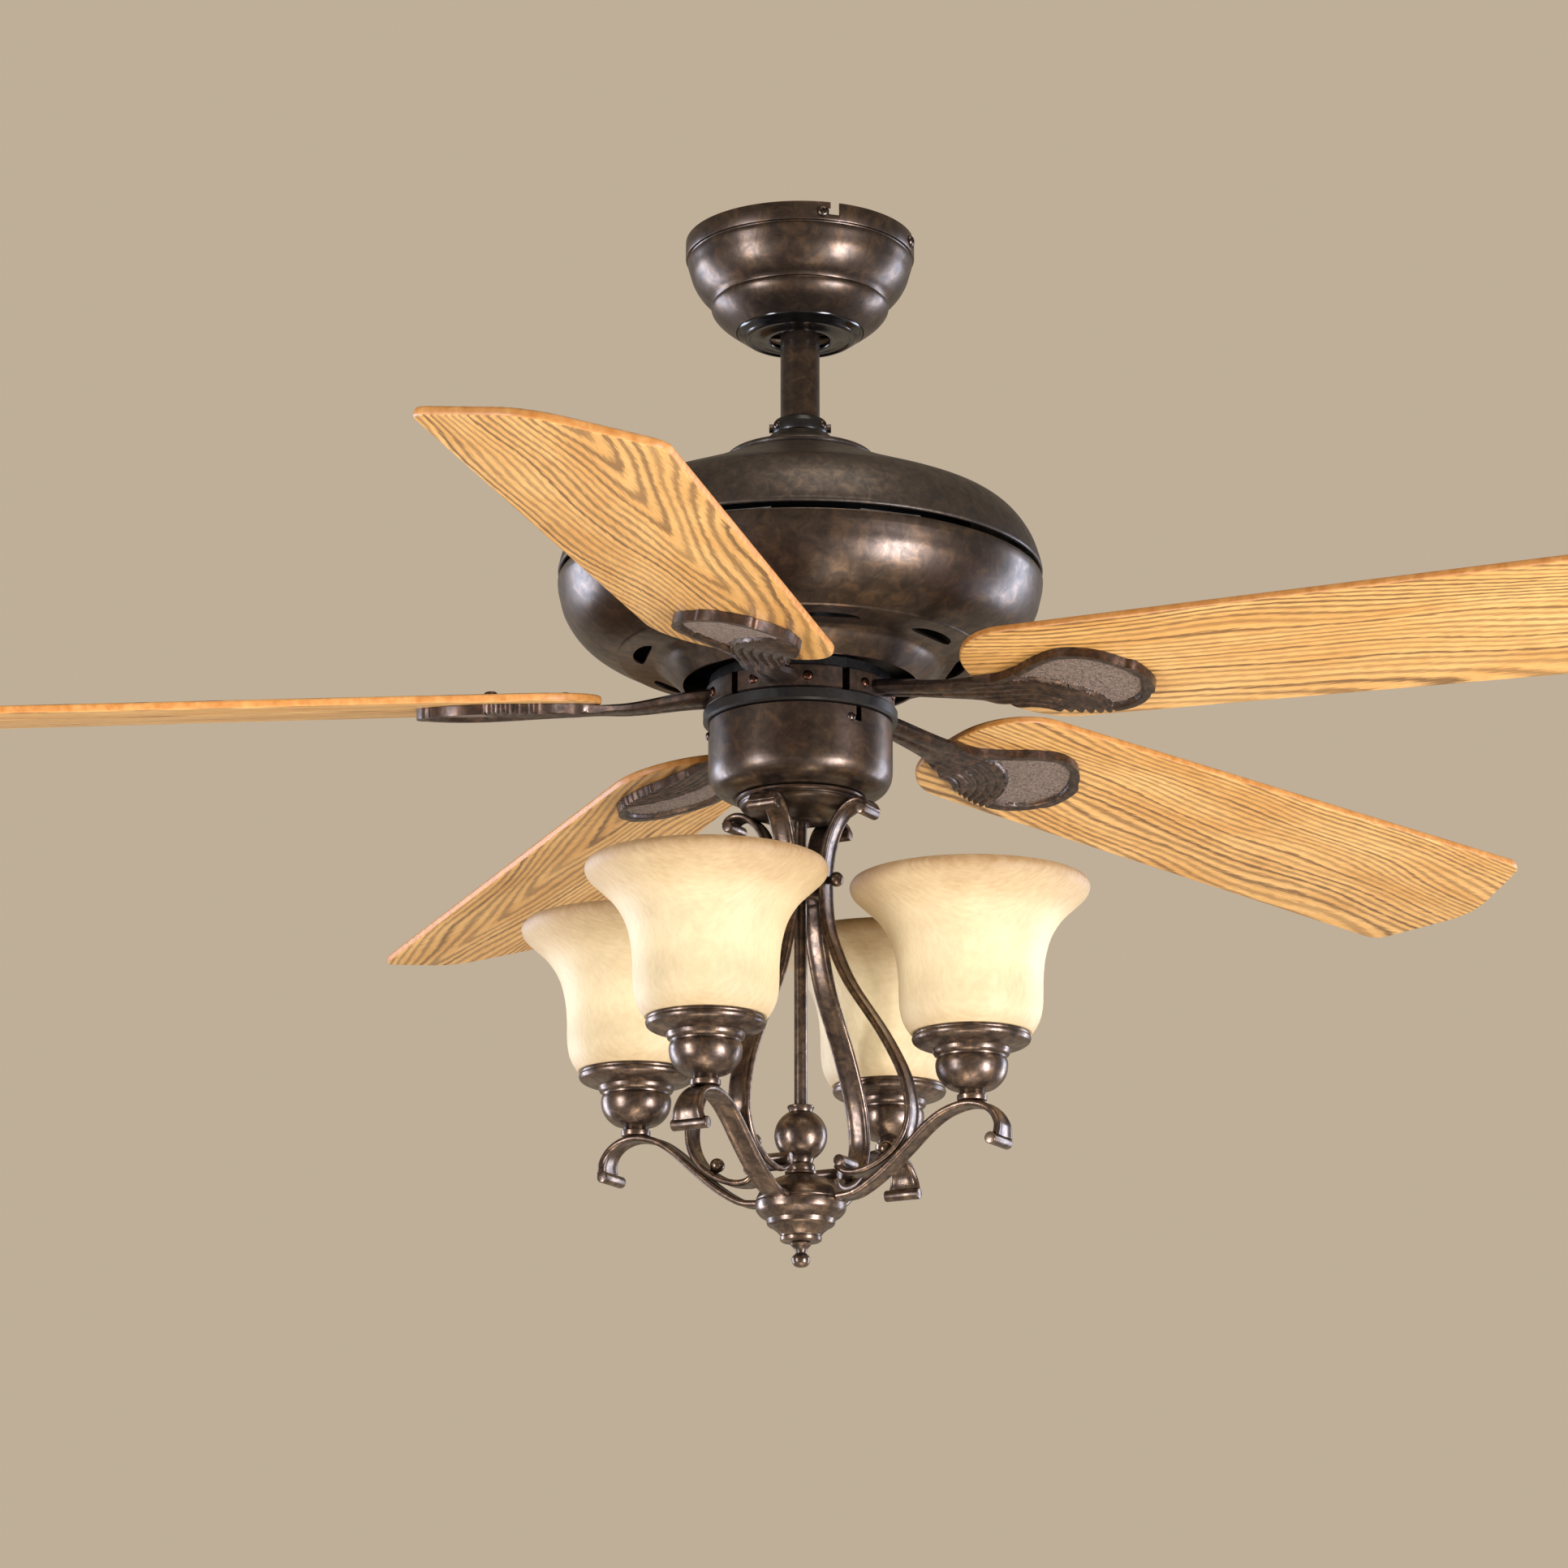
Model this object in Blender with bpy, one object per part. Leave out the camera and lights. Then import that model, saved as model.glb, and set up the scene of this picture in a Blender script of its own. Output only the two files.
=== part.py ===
"""Ceiling fan with a four-light kit, as separate named pieces. Sizes are in millimetres here and
the objects are in metres. The origin is the middle of the ceiling plane and +Z points up."""

import math

import bmesh
import bpy
from mathutils import Matrix, Vector

for old in list(bpy.data.objects):
    bpy.data.objects.remove(old, do_unlink=True)

# ---------------------------------------------------------------- driving sizes, millimetres
METRE = 0.001
GAP = 0.3

CANOPY_RADIUS = 78.3
CANOPY_HEIGHT = 72.0
CANOPY_WALL = 1.5
CANOPY_HOLE = 24.0
SCREW_DROP = 7.5
SCREW_AZIMUTHS = (-78.5, -16.5)

BRACKET_LENGTH = 112.0
BRACKET_WIDTH = 38.0
BRACKET_SHEET = 2.0
BRACKET_LEG = 34.0
BRACKET_SEAT_DROP = 58.0
BOX_SCREW_HALF_SPAN = 44.5

BALL_RADIUS = 24.0
BALL_SEAT_RADIUS = 19.0
ROD_RADIUS = 13.35
ROD_BORE = 10.6
ROD_TOP_DROP = 30.0
ROD_BOTTOM_DROP = 139.6
PIN_RADIUS = 3.0
COLLAR_RADIUS = 18.5
COLLAR_HEIGHT = 10.0

HOUSING_RADIUS = 163.0
HOUSING_TOP_DROP = 160.2
HOUSING_SEAM_DROP = 240.5
HOUSING_SEAM_GAP = 4.5
HOUSING_FLOOR_DROP = 301.0
HOUSING_WALL = 1.6
CAP_RADIUS = 50.5
DRUM_TOP_RADIUS = 95.5
DRUM_BOTTOM_RADIUS = 80.0
DRUM_BOTTOM_DROP = 316.8
VENT_COUNT = 8

SHAFT_RADIUS = 8.0
SHAFT_BORE = 4.5
ROTOR_RADIUS = 115.0
ROTOR_WALL = 4.0
STATOR_RADIUS = 96.0
ROTOR_TOP_DROP = 200.0
ROTOR_BOTTOM_DROP = 285.0
NECK_RADIUS = 38.0

FOOT_RADIUS = 63.0
FOOT_BORE = 30.0
FOOT_TOP_DROP = 319.5
FOOT_HEIGHT = 15.0
FOOT_SPREAD = 67.0

BLADE_COUNT = 5
BLADE_FIRST_AZIMUTH = 41.55
BLADE_ROOT = 134.0
BLADE_TIP = 684.0
BLADE_ROOT_HALF_WIDTH = 61.0
BLADE_TIP_HALF_WIDTH = 73.5
BLADE_THICKNESS = 5.5
BLADE_PITCH = 11.95
BLADE_DROOP = 3.09
BLADE_AXIS_DROP = 324.0
IRON_THICKNESS = 6.0
IRON_ARM_WIDTH = 24.0
IRON_ARM_THICKNESS = 9.0

PLATE_RADIUS = 65.0
PLATE_TOP_DROP = 335.3
PLATE_HEIGHT = 8.7
SWITCH_RADIUS = 61.5
SWITCH_BOTTOM_DROP = 395.0
SWITCH_WALL = 1.8
SLIDER_TRAVEL = 4.0
KIT_CAP_RADIUS = 43.0
KIT_CAP_BOTTOM_DROP = 412.0

KIT_ROD_RADIUS = 4.25
KIT_COLLAR_RADIUS = 16.2
KIT_COLLAR_DROP = 458.0
KIT_BALL_RADIUS = 17.3
KIT_BALL_DROP = 622.0
HUB_RADIUS = 29.7
HUB_DROP = 668.0
FINIAL_BOTTOM_DROP = 709.0

LIGHT_COUNT = 4
LIGHT_FIRST_AZIMUTH = -28.7
ARM_REACH = 125.0
ARM_WIDTH = 16.0
ARM_END_WIDTH = 25.0
ARM_THICKNESS = 4.6
ARM_CREST_DROP = 613.0
STRAP_REACH = 81.5
STRAP_WIDTH = 16.0
STRAP_END_WIDTH = 21.0
STRAP_THICKNESS = 4.4
ROLL_RADIUS = 4.0
NUT_BALL_RADIUS = 5.0

CUP_RADIUS = 38.5
CUP_TOP_DROP = 567.0
SOCKET_RADIUS = 13.5
SHADE_RIM_RADIUS = 75.0
SHADE_WAIST_RADIUS = 43.5
SHADE_FOOT_RADIUS = 34.5
SHADE_HEIGHT = 102.0
SHADE_WALL = 3.2
BULB_RADIUS = 21.0
BULB_HEIGHT = 62.0

# ---------------------------------------------------------------- materials


def material(name, colour, metallic, roughness, transmission=0.0):
    made = bpy.data.materials.new(name)
    made.use_nodes = True
    shader = made.node_tree.nodes["Principled BSDF"]
    shader.inputs["Base Color"].default_value = (*colour, 1.0)
    shader.inputs["Metallic"].default_value = metallic
    shader.inputs["Roughness"].default_value = roughness
    shader.inputs["Transmission Weight"].default_value = transmission
    return made


BRONZE = (0.10, 0.065, 0.045)
STEEL = (0.45, 0.45, 0.46)
BLACK = (0.012, 0.012, 0.012)
OAK = (0.52, 0.27, 0.09)
GLASS = (0.90, 0.76, 0.52)
COPPER = (0.45, 0.20, 0.10)

# ---------------------------------------------------------------- shape helpers


def rotation(azimuth):
    return Matrix.Rotation(math.radians(azimuth), 4, "Z")


def clean(shape):
    bmesh.ops.remove_doubles(shape, verts=shape.verts, dist=0.001)
    bmesh.ops.recalc_face_normals(shape, faces=shape.faces)


def keep(name, shape, look, parent=None, smooth=True, matrix=None):
    """Turns a bmesh in millimetres into a named object in metres."""
    if matrix is not None:
        shape.transform(matrix)
    shape.transform(Matrix.Scale(METRE, 4))
    mesh = bpy.data.meshes.new(name)
    shape.to_mesh(mesh)
    shape.free()
    made = bpy.data.objects.new(name, mesh)
    bpy.context.scene.collection.objects.link(made)
    if look is not None:
        mesh.materials.append(material(name + "_look", *look))
    for face in mesh.polygons:
        face.use_smooth = smooth
    if parent is not None:
        made.parent = parent
        made.matrix_parent_inverse = parent.matrix_world.inverted()
    return made


def turned(profile, steps, closed=False):
    """Spins a profile of (radius, height) points about Z. Open profiles end on the axis."""
    shape = bmesh.new()
    points = [shape.verts.new((r, 0.0, z)) for r, z in profile]
    edges = [shape.edges.new(pair) for pair in zip(points, points[1:])]
    if closed:
        edges.append(shape.edges.new((points[-1], points[0])))
    bmesh.ops.spin(
        shape,
        geom=points + edges,
        cent=(0.0, 0.0, 0.0),
        axis=(0.0, 0.0, 1.0),
        angle=2 * math.pi,
        steps=steps,
        use_merge=True,
    )
    clean(shape)
    return shape


def shell(outer, wall, steps):
    """A sheet shell: one face follows the profile from the middle out, the other is offset below
    it, or above it where the wall is negative, and is a little coarser."""
    inner = []
    for index, (r, z) in enumerate(outer):
        before = Vector(outer[max(index - 1, 0)])
        after = Vector(outer[min(index + 1, len(outer) - 1)])
        along = (after - before).normalized()
        if index % 2 == 0 or index == len(outer) - 1:
            inner.append((r + along.y * wall, z - along.x * wall))
    return turned(outer + inner[::-1], steps, closed=True)


def loft(rings):
    """Joins rings of equally many points into one closed body."""
    shape = bmesh.new()
    loops = [[shape.verts.new(point) for point in ring] for ring in rings]
    count = len(loops[0])
    for low, high in zip(loops, loops[1:]):
        for k in range(count):
            shape.faces.new((low[k], low[(k + 1) % count], high[(k + 1) % count], high[k]))
    shape.faces.new(loops[0][::-1])
    shape.faces.new(loops[-1])
    bmesh.ops.recalc_face_normals(shape, faces=shape.faces)
    return shape


def curve(points, steps):
    """A smooth line through the points, with a number of steps between each pair."""
    ends = [points[0], *points, points[-1]]
    line = []
    for a, b, c, d in zip(ends, ends[1:], ends[2:], ends[3:]):
        a, b, c, d = Vector(a), Vector(b), Vector(c), Vector(d)
        for k in range(steps):
            t = k / steps
            line.append(
                0.5 * (2 * b + (c - a) * t + (2 * a - 5 * b + 4 * c - d) * t**2
                       + (3 * b - a - 3 * c + d) * t**3)
            )
    line.append(Vector(points[-1]))
    return line


def bar(line, widths, thickness, chamfer=1.2):
    """Sweeps a flat bar along a line of (radius, height) points in the XZ plane."""
    rings = []
    for index, point in enumerate(line):
        before = line[max(index - 1, 0)]
        after = line[min(index + 1, len(line) - 1)]
        along = (after - before).normalized()
        across = Vector((-along.y, along.x))
        half = widths[index] / 2
        deep = thickness / 2
        outline = (
            (half, deep - chamfer),
            (half - chamfer, deep),
            (chamfer - half, deep),
            (-half, deep - chamfer),
            (-half, chamfer - deep),
            (chamfer - half, -deep),
            (half - chamfer, -deep),
            (half, chamfer - deep),
        )
        ring = []
        for side, rise in outline:
            spot = point + across * rise
            ring.append((spot.x, side, spot.y))
        rings.append(ring)
    return loft(rings)


def rod(start, end, radius, sides=12):
    """A round bar between two points."""
    start = Vector(start)
    end = Vector(end)
    shape = bmesh.new()
    bmesh.ops.create_cone(
        shape, cap_ends=True, segments=sides, radius1=radius, radius2=radius,
        depth=(end - start).length,
    )
    turn = Vector((0, 0, 1)).rotation_difference(end - start).to_matrix().to_4x4()
    shape.transform(Matrix.Translation((start + end) / 2) @ turn)
    return shape


def sphere(centre, radius, around=8, up=4):
    shape = bmesh.new()
    bmesh.ops.create_uvsphere(shape, u_segments=around, v_segments=up, radius=radius)
    shape.transform(Matrix.Translation(centre))
    return shape


def box(low, high):
    low = Vector(low)
    high = Vector(high)
    shape = bmesh.new()
    bmesh.ops.create_cube(shape, size=1.0)
    size = high - low
    shape.transform(Matrix.Translation((low + high) / 2) @ Matrix.Diagonal((*size, 1.0)))
    return shape


def prism(outline, low, high, chamfer=0.0):
    """Extrudes a closed outline of (x, y) points between two heights."""
    middle = Vector((0.0, 0.0))
    for point in outline:
        middle += Vector(point) / len(outline)
    inset = []
    count = len(outline)
    for index in range(count):
        along = Vector(outline[(index + 1) % count]) - Vector(outline[index - 1])
        side = Vector((along.y, -along.x)).normalized()
        if side.dot(Vector(outline[index]) - middle) < 0:
            side = -side
        inset.append(Vector(outline[index]) - side * chamfer)
    if chamfer == 0.0:
        return loft([[(x, y, low) for x, y in outline], [(x, y, high) for x, y in outline]])
    return loft(
        [
            [(x, y, low) for x, y in inset],
            [(x, y, low + chamfer) for x, y in outline],
            [(x, y, high - chamfer) for x, y in outline],
            [(x, y, high) for x, y in inset],
        ]
    )


def rounded(corners):
    """A closed outline from (x, y, radius, steps) corners."""
    outline = []
    count = len(corners)
    for index, (x, y, radius, steps) in enumerate(corners):
        corner = Vector((x, y))
        back = (Vector(corners[index - 1][:2]) - corner).normalized()
        on = (Vector(corners[(index + 1) % count][:2]) - corner).normalized()
        half = back.angle(on) / 2
        reach = radius / math.tan(half)
        centre = corner + (back + on).normalized() * radius / math.sin(half)
        start = corner + back * reach - centre
        sweep = start.angle_signed(corner + on * reach - centre)
        for k in range(steps + 1):
            turn = Matrix.Rotation(-sweep * k / steps, 2)
            outline.append(centre + turn @ start)
    return outline


def joined(shapes):
    """Puts separate shapes into one, so that one cut makes all of them."""
    whole = bmesh.new()
    for shape in shapes:
        mesh = bpy.data.meshes.new("joined")
        shape.to_mesh(mesh)
        shape.free()
        whole.from_mesh(mesh)
        bpy.data.meshes.remove(mesh)
    return whole


def apply_all(thing):
    """Bakes the modifiers into the mesh, so a finished piece is plain geometry."""
    bpy.context.view_layer.update()
    graph = bpy.context.evaluated_depsgraph_get()
    baked = bpy.data.meshes.new_from_object(thing.evaluated_get(graph))
    smooth = thing.data.polygons[0].use_smooth
    thing.modifiers.clear()
    thing.data = baked
    for face in baked.polygons:
        face.use_smooth = smooth


def combine(thing, shapes, operation, matrix=None, solver="EXACT"):
    """Adds shapes to a finished object, or cuts them from it."""
    helpers = []
    for shape in shapes:
        helper = keep("helper", shape, None, matrix=matrix)
        helper.hide_render = True
        helper.display_type = "WIRE"
        helpers.append(helper)
        modifier = thing.modifiers.new(operation.lower(), "BOOLEAN")
        modifier.operation = operation
        modifier.solver = solver
        modifier.object = helper
    apply_all(thing)
    for helper in helpers:
        bpy.data.objects.remove(helper, do_unlink=True)


def empty(name, height, parent=None):
    made = bpy.data.objects.new(name, None)
    made.location = (0.0, 0.0, height * METRE)
    bpy.context.scene.collection.objects.link(made)
    if parent is not None:
        made.parent = parent
        bpy.context.view_layer.update()
        made.matrix_parent_inverse = parent.matrix_world.inverted()
    bpy.context.view_layer.update()
    return made


# ---------------------------------------------------------------- frames of the moving groups
BALL_DROP = BRACKET_SEAT_DROP - math.sqrt(BALL_RADIUS**2 - BALL_SEAT_RADIUS**2) - 2 * GAP
hang = empty("hang_pivot", -BALL_DROP)
spin = empty("spin_axis", -BLADE_AXIS_DROP, hang)
slide = empty("reverse_slide", -(PLATE_TOP_DROP + SWITCH_BOTTOM_DROP) / 2, hang)

# ---------------------------------------------------------------- ceiling side

# Folded steel strap that screws to the ceiling box; the ball drops into the seat in its floor.
bracket = keep(
    "hanger_bracket",
    box((-BRACKET_LENGTH / 2, -BRACKET_WIDTH / 2, -BRACKET_SHEET),
        (BRACKET_LENGTH / 2, BRACKET_WIDTH / 2, 0.0)),
    (STEEL, 1.0, 0.4), smooth=False,
)
seat_low = -BRACKET_SEAT_DROP - BRACKET_SHEET
legs = []
for side in (-1, 1):
    near = side * BRACKET_LEG
    far = side * (BRACKET_LEG - BRACKET_SHEET)
    legs.append(
        box((min(near, far), -BRACKET_WIDTH / 2, seat_low),
            (max(near, far), BRACKET_WIDTH / 2, -BRACKET_SHEET / 2))
    )
legs.append(
    box((-BRACKET_LEG, -BRACKET_WIDTH / 2, seat_low),
        (BRACKET_LEG, BRACKET_WIDTH / 2, -BRACKET_SEAT_DROP))
)
combine(bracket, legs, "UNION")
holes = [rod((0, 0, seat_low - 1), (0, 0, -BRACKET_SEAT_DROP + 1), BALL_SEAT_RADIUS, 24)]
for side in (-1, 1):
    at = side * BOX_SCREW_HALF_SPAN
    holes.append(rod((at, 0, -BRACKET_SHEET - 1), (at, 0, 1), 2.6, 10))
combine(bracket, holes, "DIFFERENCE")

# Spun canopy in two tiers with a bead at the rim.
canopy_profile = [
    (CANOPY_HOLE, -CANOPY_HEIGHT),
    (CANOPY_RADIUS * 0.39, -CANOPY_HEIGHT),
    (CANOPY_RADIUS * 0.53, -CANOPY_HEIGHT * 0.93),
    (CANOPY_RADIUS * 0.65, -CANOPY_HEIGHT * 0.83),
    (CANOPY_RADIUS * 0.71, -CANOPY_HEIGHT * 0.76),
    (CANOPY_RADIUS * 0.765, -CANOPY_HEIGHT * 0.66),
    (CANOPY_RADIUS * 0.80, -CANOPY_HEIGHT * 0.61),
    (CANOPY_RADIUS * 0.88, -CANOPY_HEIGHT * 0.50),
    (CANOPY_RADIUS * 0.935, -CANOPY_HEIGHT * 0.39),
    (CANOPY_RADIUS * 0.965, -CANOPY_HEIGHT * 0.27),
    (CANOPY_RADIUS * 0.985, -CANOPY_HEIGHT * 0.21),
    (CANOPY_RADIUS * 0.972, -CANOPY_HEIGHT * 0.195),
    (CANOPY_RADIUS * 0.998, -CANOPY_HEIGHT * 0.175),
    (CANOPY_RADIUS, -GAP),
]
canopy = keep(
    "canopy",
    turned(
        canopy_profile
        + [(CANOPY_RADIUS - CANOPY_WALL, -GAP)]
        + [(r - CANOPY_WALL, z + CANOPY_WALL * 0.7) for r, z in canopy_profile[-3:1:-2]]
        + [(CANOPY_RADIUS * 0.39, -CANOPY_HEIGHT + CANOPY_WALL),
           (CANOPY_HOLE, -CANOPY_HEIGHT + CANOPY_WALL)],
        24, closed=True,
    ),
    (BRONZE, 0.9, 0.4),
)
canopy_holes = []
for azimuth in SCREW_AZIMUTHS:
    out = rotation(azimuth) @ Vector((CANOPY_RADIUS + 5, 0, -SCREW_DROP))
    inward = rotation(azimuth) @ Vector((CANOPY_RADIUS - 8, 0, -SCREW_DROP))
    canopy_holes.append(rod(inward, out, 2.2, 10))
combine(canopy, canopy_holes, "DIFFERENCE")

for number, azimuth in enumerate(SCREW_AZIMUTHS, 1):
    head = [(0.0, 2.6), (2.4, 2.0), (3.9, 0.3), (3.9, GAP - 0.2), (1.7, GAP - 0.2), (1.7, -8.0),
            (0.0, -8.0)]
    lay = Matrix.Rotation(math.pi / 2, 4, "Y")
    keep(
        f"canopy_screw_{number}",
        turned(head, 10),
        (COPPER, 1.0, 0.35),
        matrix=rotation(azimuth)
        @ Matrix.Translation((CANOPY_RADIUS + GAP, 0, -SCREW_DROP)) @ lay,
    )

# ---------------------------------------------------------------- hanging side

ball_profile = [(ROD_RADIUS + GAP, -17.0), (17.0, -17.0)]
for k in range(1, 6):
    tilt = math.radians(-45 + k * 18.9)
    ball_profile.append((BALL_RADIUS * math.cos(tilt), BALL_RADIUS * math.sin(tilt)))
ball_profile += [(ROD_RADIUS + GAP, BALL_RADIUS * math.sin(math.radians(49.5)))]
hanger_ball = keep(
    "hanger_ball", turned(ball_profile, 18, closed=True), (BLACK, 0.0, 0.5), hang,
    matrix=Matrix.Translation((0, 0, -BALL_DROP)),
)
downrod = keep(
    "downrod",
    turned(
        [(ROD_RADIUS, -ROD_BOTTOM_DROP), (ROD_RADIUS, -ROD_TOP_DROP),
         (ROD_BORE, -ROD_TOP_DROP), (ROD_BORE, -ROD_BOTTOM_DROP)], 18, closed=True),
    (BRONZE, 0.9, 0.35), hang,
)
collar_drop = ROD_BOTTOM_DROP - COLLAR_HEIGHT
yoke_collar = keep(
    "yoke_collar",
    turned(
        [(ROD_RADIUS + GAP, -ROD_BOTTOM_DROP), (COLLAR_RADIUS, -ROD_BOTTOM_DROP),
         (COLLAR_RADIUS, -collar_drop - 1.5), (COLLAR_RADIUS - 1.5, -collar_drop),
         (ROD_RADIUS + GAP, -collar_drop)], 18, closed=True),
    (BLACK, 0.3, 0.4), hang,
)
pin_holes = (
    (hanger_ball, "Y", BALL_DROP, BALL_RADIUS + 3),
    (downrod, "Y", BALL_DROP, BALL_RADIUS + 3),
    (downrod, "X", ROD_BOTTOM_DROP - COLLAR_HEIGHT / 2, COLLAR_RADIUS + 3),
    (yoke_collar, "X", ROD_BOTTOM_DROP - COLLAR_HEIGHT / 2, COLLAR_RADIUS + 3),
)
for thing, way, drop, reach in pin_holes:
    aim = Vector((reach, 0, 0)) if way == "X" else Vector((0, reach, 0))
    middle = Vector((0, 0, -drop))
    combine(thing, [rod(middle - aim, middle + aim, PIN_RADIUS + GAP, 10)], "DIFFERENCE")
keep(
    "hanger_ball_pin",
    rod((0, -BALL_RADIUS + 2, -BALL_DROP), (0, BALL_RADIUS - 2, -BALL_DROP), PIN_RADIUS, 10),
    (STEEL, 1.0, 0.35), hang,
)
bolt_drop = ROD_BOTTOM_DROP - COLLAR_HEIGHT / 2
keep(
    "coupling_bolt",
    rod((-COLLAR_RADIUS - 2.5, 0, -bolt_drop), (COLLAR_RADIUS + 2.5, 0, -bolt_drop), PIN_RADIUS, 10),
    (STEEL, 1.0, 0.35), hang,
)

# Hollow fixed shaft with the flange that carries the motor.
keep(
    "motor_shaft",
    turned(
        [(SHAFT_BORE, -ROD_BOTTOM_DROP - GAP), (17.0, -ROD_BOTTOM_DROP - GAP), (17.0, -151.0),
         (28.0, -156.0), (28.0, -167.0), (SHAFT_RADIUS, -170.0),
         (SHAFT_RADIUS, -PLATE_TOP_DROP - PLATE_HEIGHT - 6.0),
         (SHAFT_BORE, -PLATE_TOP_DROP - PLATE_HEIGHT - 6.0)], 14, closed=True),
    (STEEL, 1.0, 0.35), hang,
)
cap_top = ROD_BOTTOM_DROP + 1.0
cap_rise = HOUSING_TOP_DROP - GAP - cap_top
cap_outer = [
    (18.0, -cap_top),
    (CAP_RADIUS * 0.42, -cap_top - cap_rise * 0.05),
    (CAP_RADIUS * 0.49, -cap_top - cap_rise * 0.25),
    (CAP_RADIUS * 0.68, -cap_top - cap_rise * 0.52),
    (CAP_RADIUS * 0.91, -cap_top - cap_rise * 0.74),
    (CAP_RADIUS, -cap_top - cap_rise * 0.87),
    (CAP_RADIUS, -cap_top - cap_rise),
]
keep(
    "motor_top_cap",
    turned(
        cap_outer + [(CAP_RADIUS - 2.5, -cap_top - cap_rise),
                     (CAP_RADIUS * 0.68 - 1, -cap_top - cap_rise * 0.62 - 1.2),
                     (CAP_RADIUS * 0.42 - 2, -cap_top - cap_rise * 0.30 - 1.2),
                     (18.0, -cap_top - 4.0)], 24, closed=True),
    (BRONZE, 0.9, 0.45), hang,
)

span = HOUSING_SEAM_DROP - HOUSING_TOP_DROP
dome_outer = [(28.5, -HOUSING_TOP_DROP), (CAP_RADIUS + 0.5, -HOUSING_TOP_DROP)]
for wide, deep in (
    (0.39, 0.07), (0.51, 0.185), (0.655, 0.31), (0.80, 0.435), (0.87, 0.51), (0.922, 0.61),
    (0.965, 0.75), (0.99, 0.89), (1.0, 1.0),
):
    dome_outer.append((HOUSING_RADIUS * wide, -HOUSING_TOP_DROP - span * deep))
keep("motor_housing_top", shell(dome_outer, HOUSING_WALL, 32), (BRONZE, 0.9, 0.5), hang)

bowl_top = HOUSING_SEAM_DROP + HOUSING_SEAM_GAP
depth = HOUSING_FLOOR_DROP - bowl_top
bowl_outer = [
    (DRUM_BOTTOM_RADIUS, -DRUM_BOTTOM_DROP),
    (DRUM_TOP_RADIUS, -HOUSING_FLOOR_DROP),
]
for wide, deep in (
    (0.70, 0.965), (0.775, 0.90), (0.84, 0.80), (0.895, 0.685), (0.94, 0.54), (0.975, 0.365),
    (0.995, 0.18), (1.0, 0.0),
):
    bowl_outer.append((HOUSING_RADIUS * wide, -bowl_top - depth * deep))
housing_bottom = keep(
    "motor_housing_bottom", shell(bowl_outer, -HOUSING_WALL, 32), (BRONZE, 0.9, 0.45), hang
)
vents = []
vent_mid = (DRUM_TOP_RADIUS + HOUSING_RADIUS * 0.70) / 2 + 1.5
for k in range(VENT_COUNT):
    ring = []
    for turn, off in ((-12, 0), (-8, 4), (0, 4.5), (8, 4), (12, 0), (8, -4), (0, -3.5), (-8, -4)):
        angle = math.radians(turn + k * 360 / VENT_COUNT + 10)
        ring.append(((vent_mid + off) * math.cos(angle), (vent_mid + off) * math.sin(angle)))
    vents.append(prism(ring, -HOUSING_FLOOR_DROP - 6, -HOUSING_FLOOR_DROP + 12))
combine(housing_bottom, [joined(vents)], "DIFFERENCE", solver="MANIFOLD")
tabs = []
for k in range(6):
    tab = box((HOUSING_RADIUS - 8.0, -7, -bowl_top - 13), (HOUSING_RADIUS - 6.0, 7, -bowl_top + 9))
    tab.transform(rotation(60 * k + 20))
    tabs.append(tab)
    foot = box((HOUSING_RADIUS - 8.6, -6, -bowl_top - 14), (HOUSING_RADIUS - 2.5, 6, -bowl_top - 9))
    foot.transform(rotation(60 * k + 20))
    tabs.append(foot)
combine(housing_bottom, tabs, "UNION")

# Fixed windings, and the turning can that wraps round them.
keep(
    "stator",
    turned(
        [(SHAFT_RADIUS + GAP, -ROTOR_BOTTOM_DROP + 38), (STATOR_RADIUS - 30, -ROTOR_BOTTOM_DROP + 38),
         (STATOR_RADIUS - 30, -ROTOR_BOTTOM_DROP + 22), (STATOR_RADIUS, -ROTOR_BOTTOM_DROP + 22),
         (STATOR_RADIUS, -ROTOR_TOP_DROP - 22), (STATOR_RADIUS - 30, -ROTOR_TOP_DROP - 22),
         (STATOR_RADIUS - 30, -ROTOR_BOTTOM_DROP + 44), (SHAFT_RADIUS + GAP, -ROTOR_BOTTOM_DROP + 44)],
        20, closed=True),
    (COPPER, 1.0, 0.5), hang,
)
keep(
    "rotor_can",
    turned(
        [(SHAFT_RADIUS + 1.5, -ROTOR_TOP_DROP), (ROTOR_RADIUS, -ROTOR_TOP_DROP),
         (ROTOR_RADIUS, -ROTOR_BOTTOM_DROP), (ROTOR_RADIUS - ROTOR_WALL, -ROTOR_BOTTOM_DROP),
         (ROTOR_RADIUS - ROTOR_WALL, -ROTOR_TOP_DROP - ROTOR_WALL),
         (SHAFT_RADIUS + 1.5, -ROTOR_TOP_DROP - ROTOR_WALL)],
        24, closed=True),
    (BLACK, 0.6, 0.5), spin,
)
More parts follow.
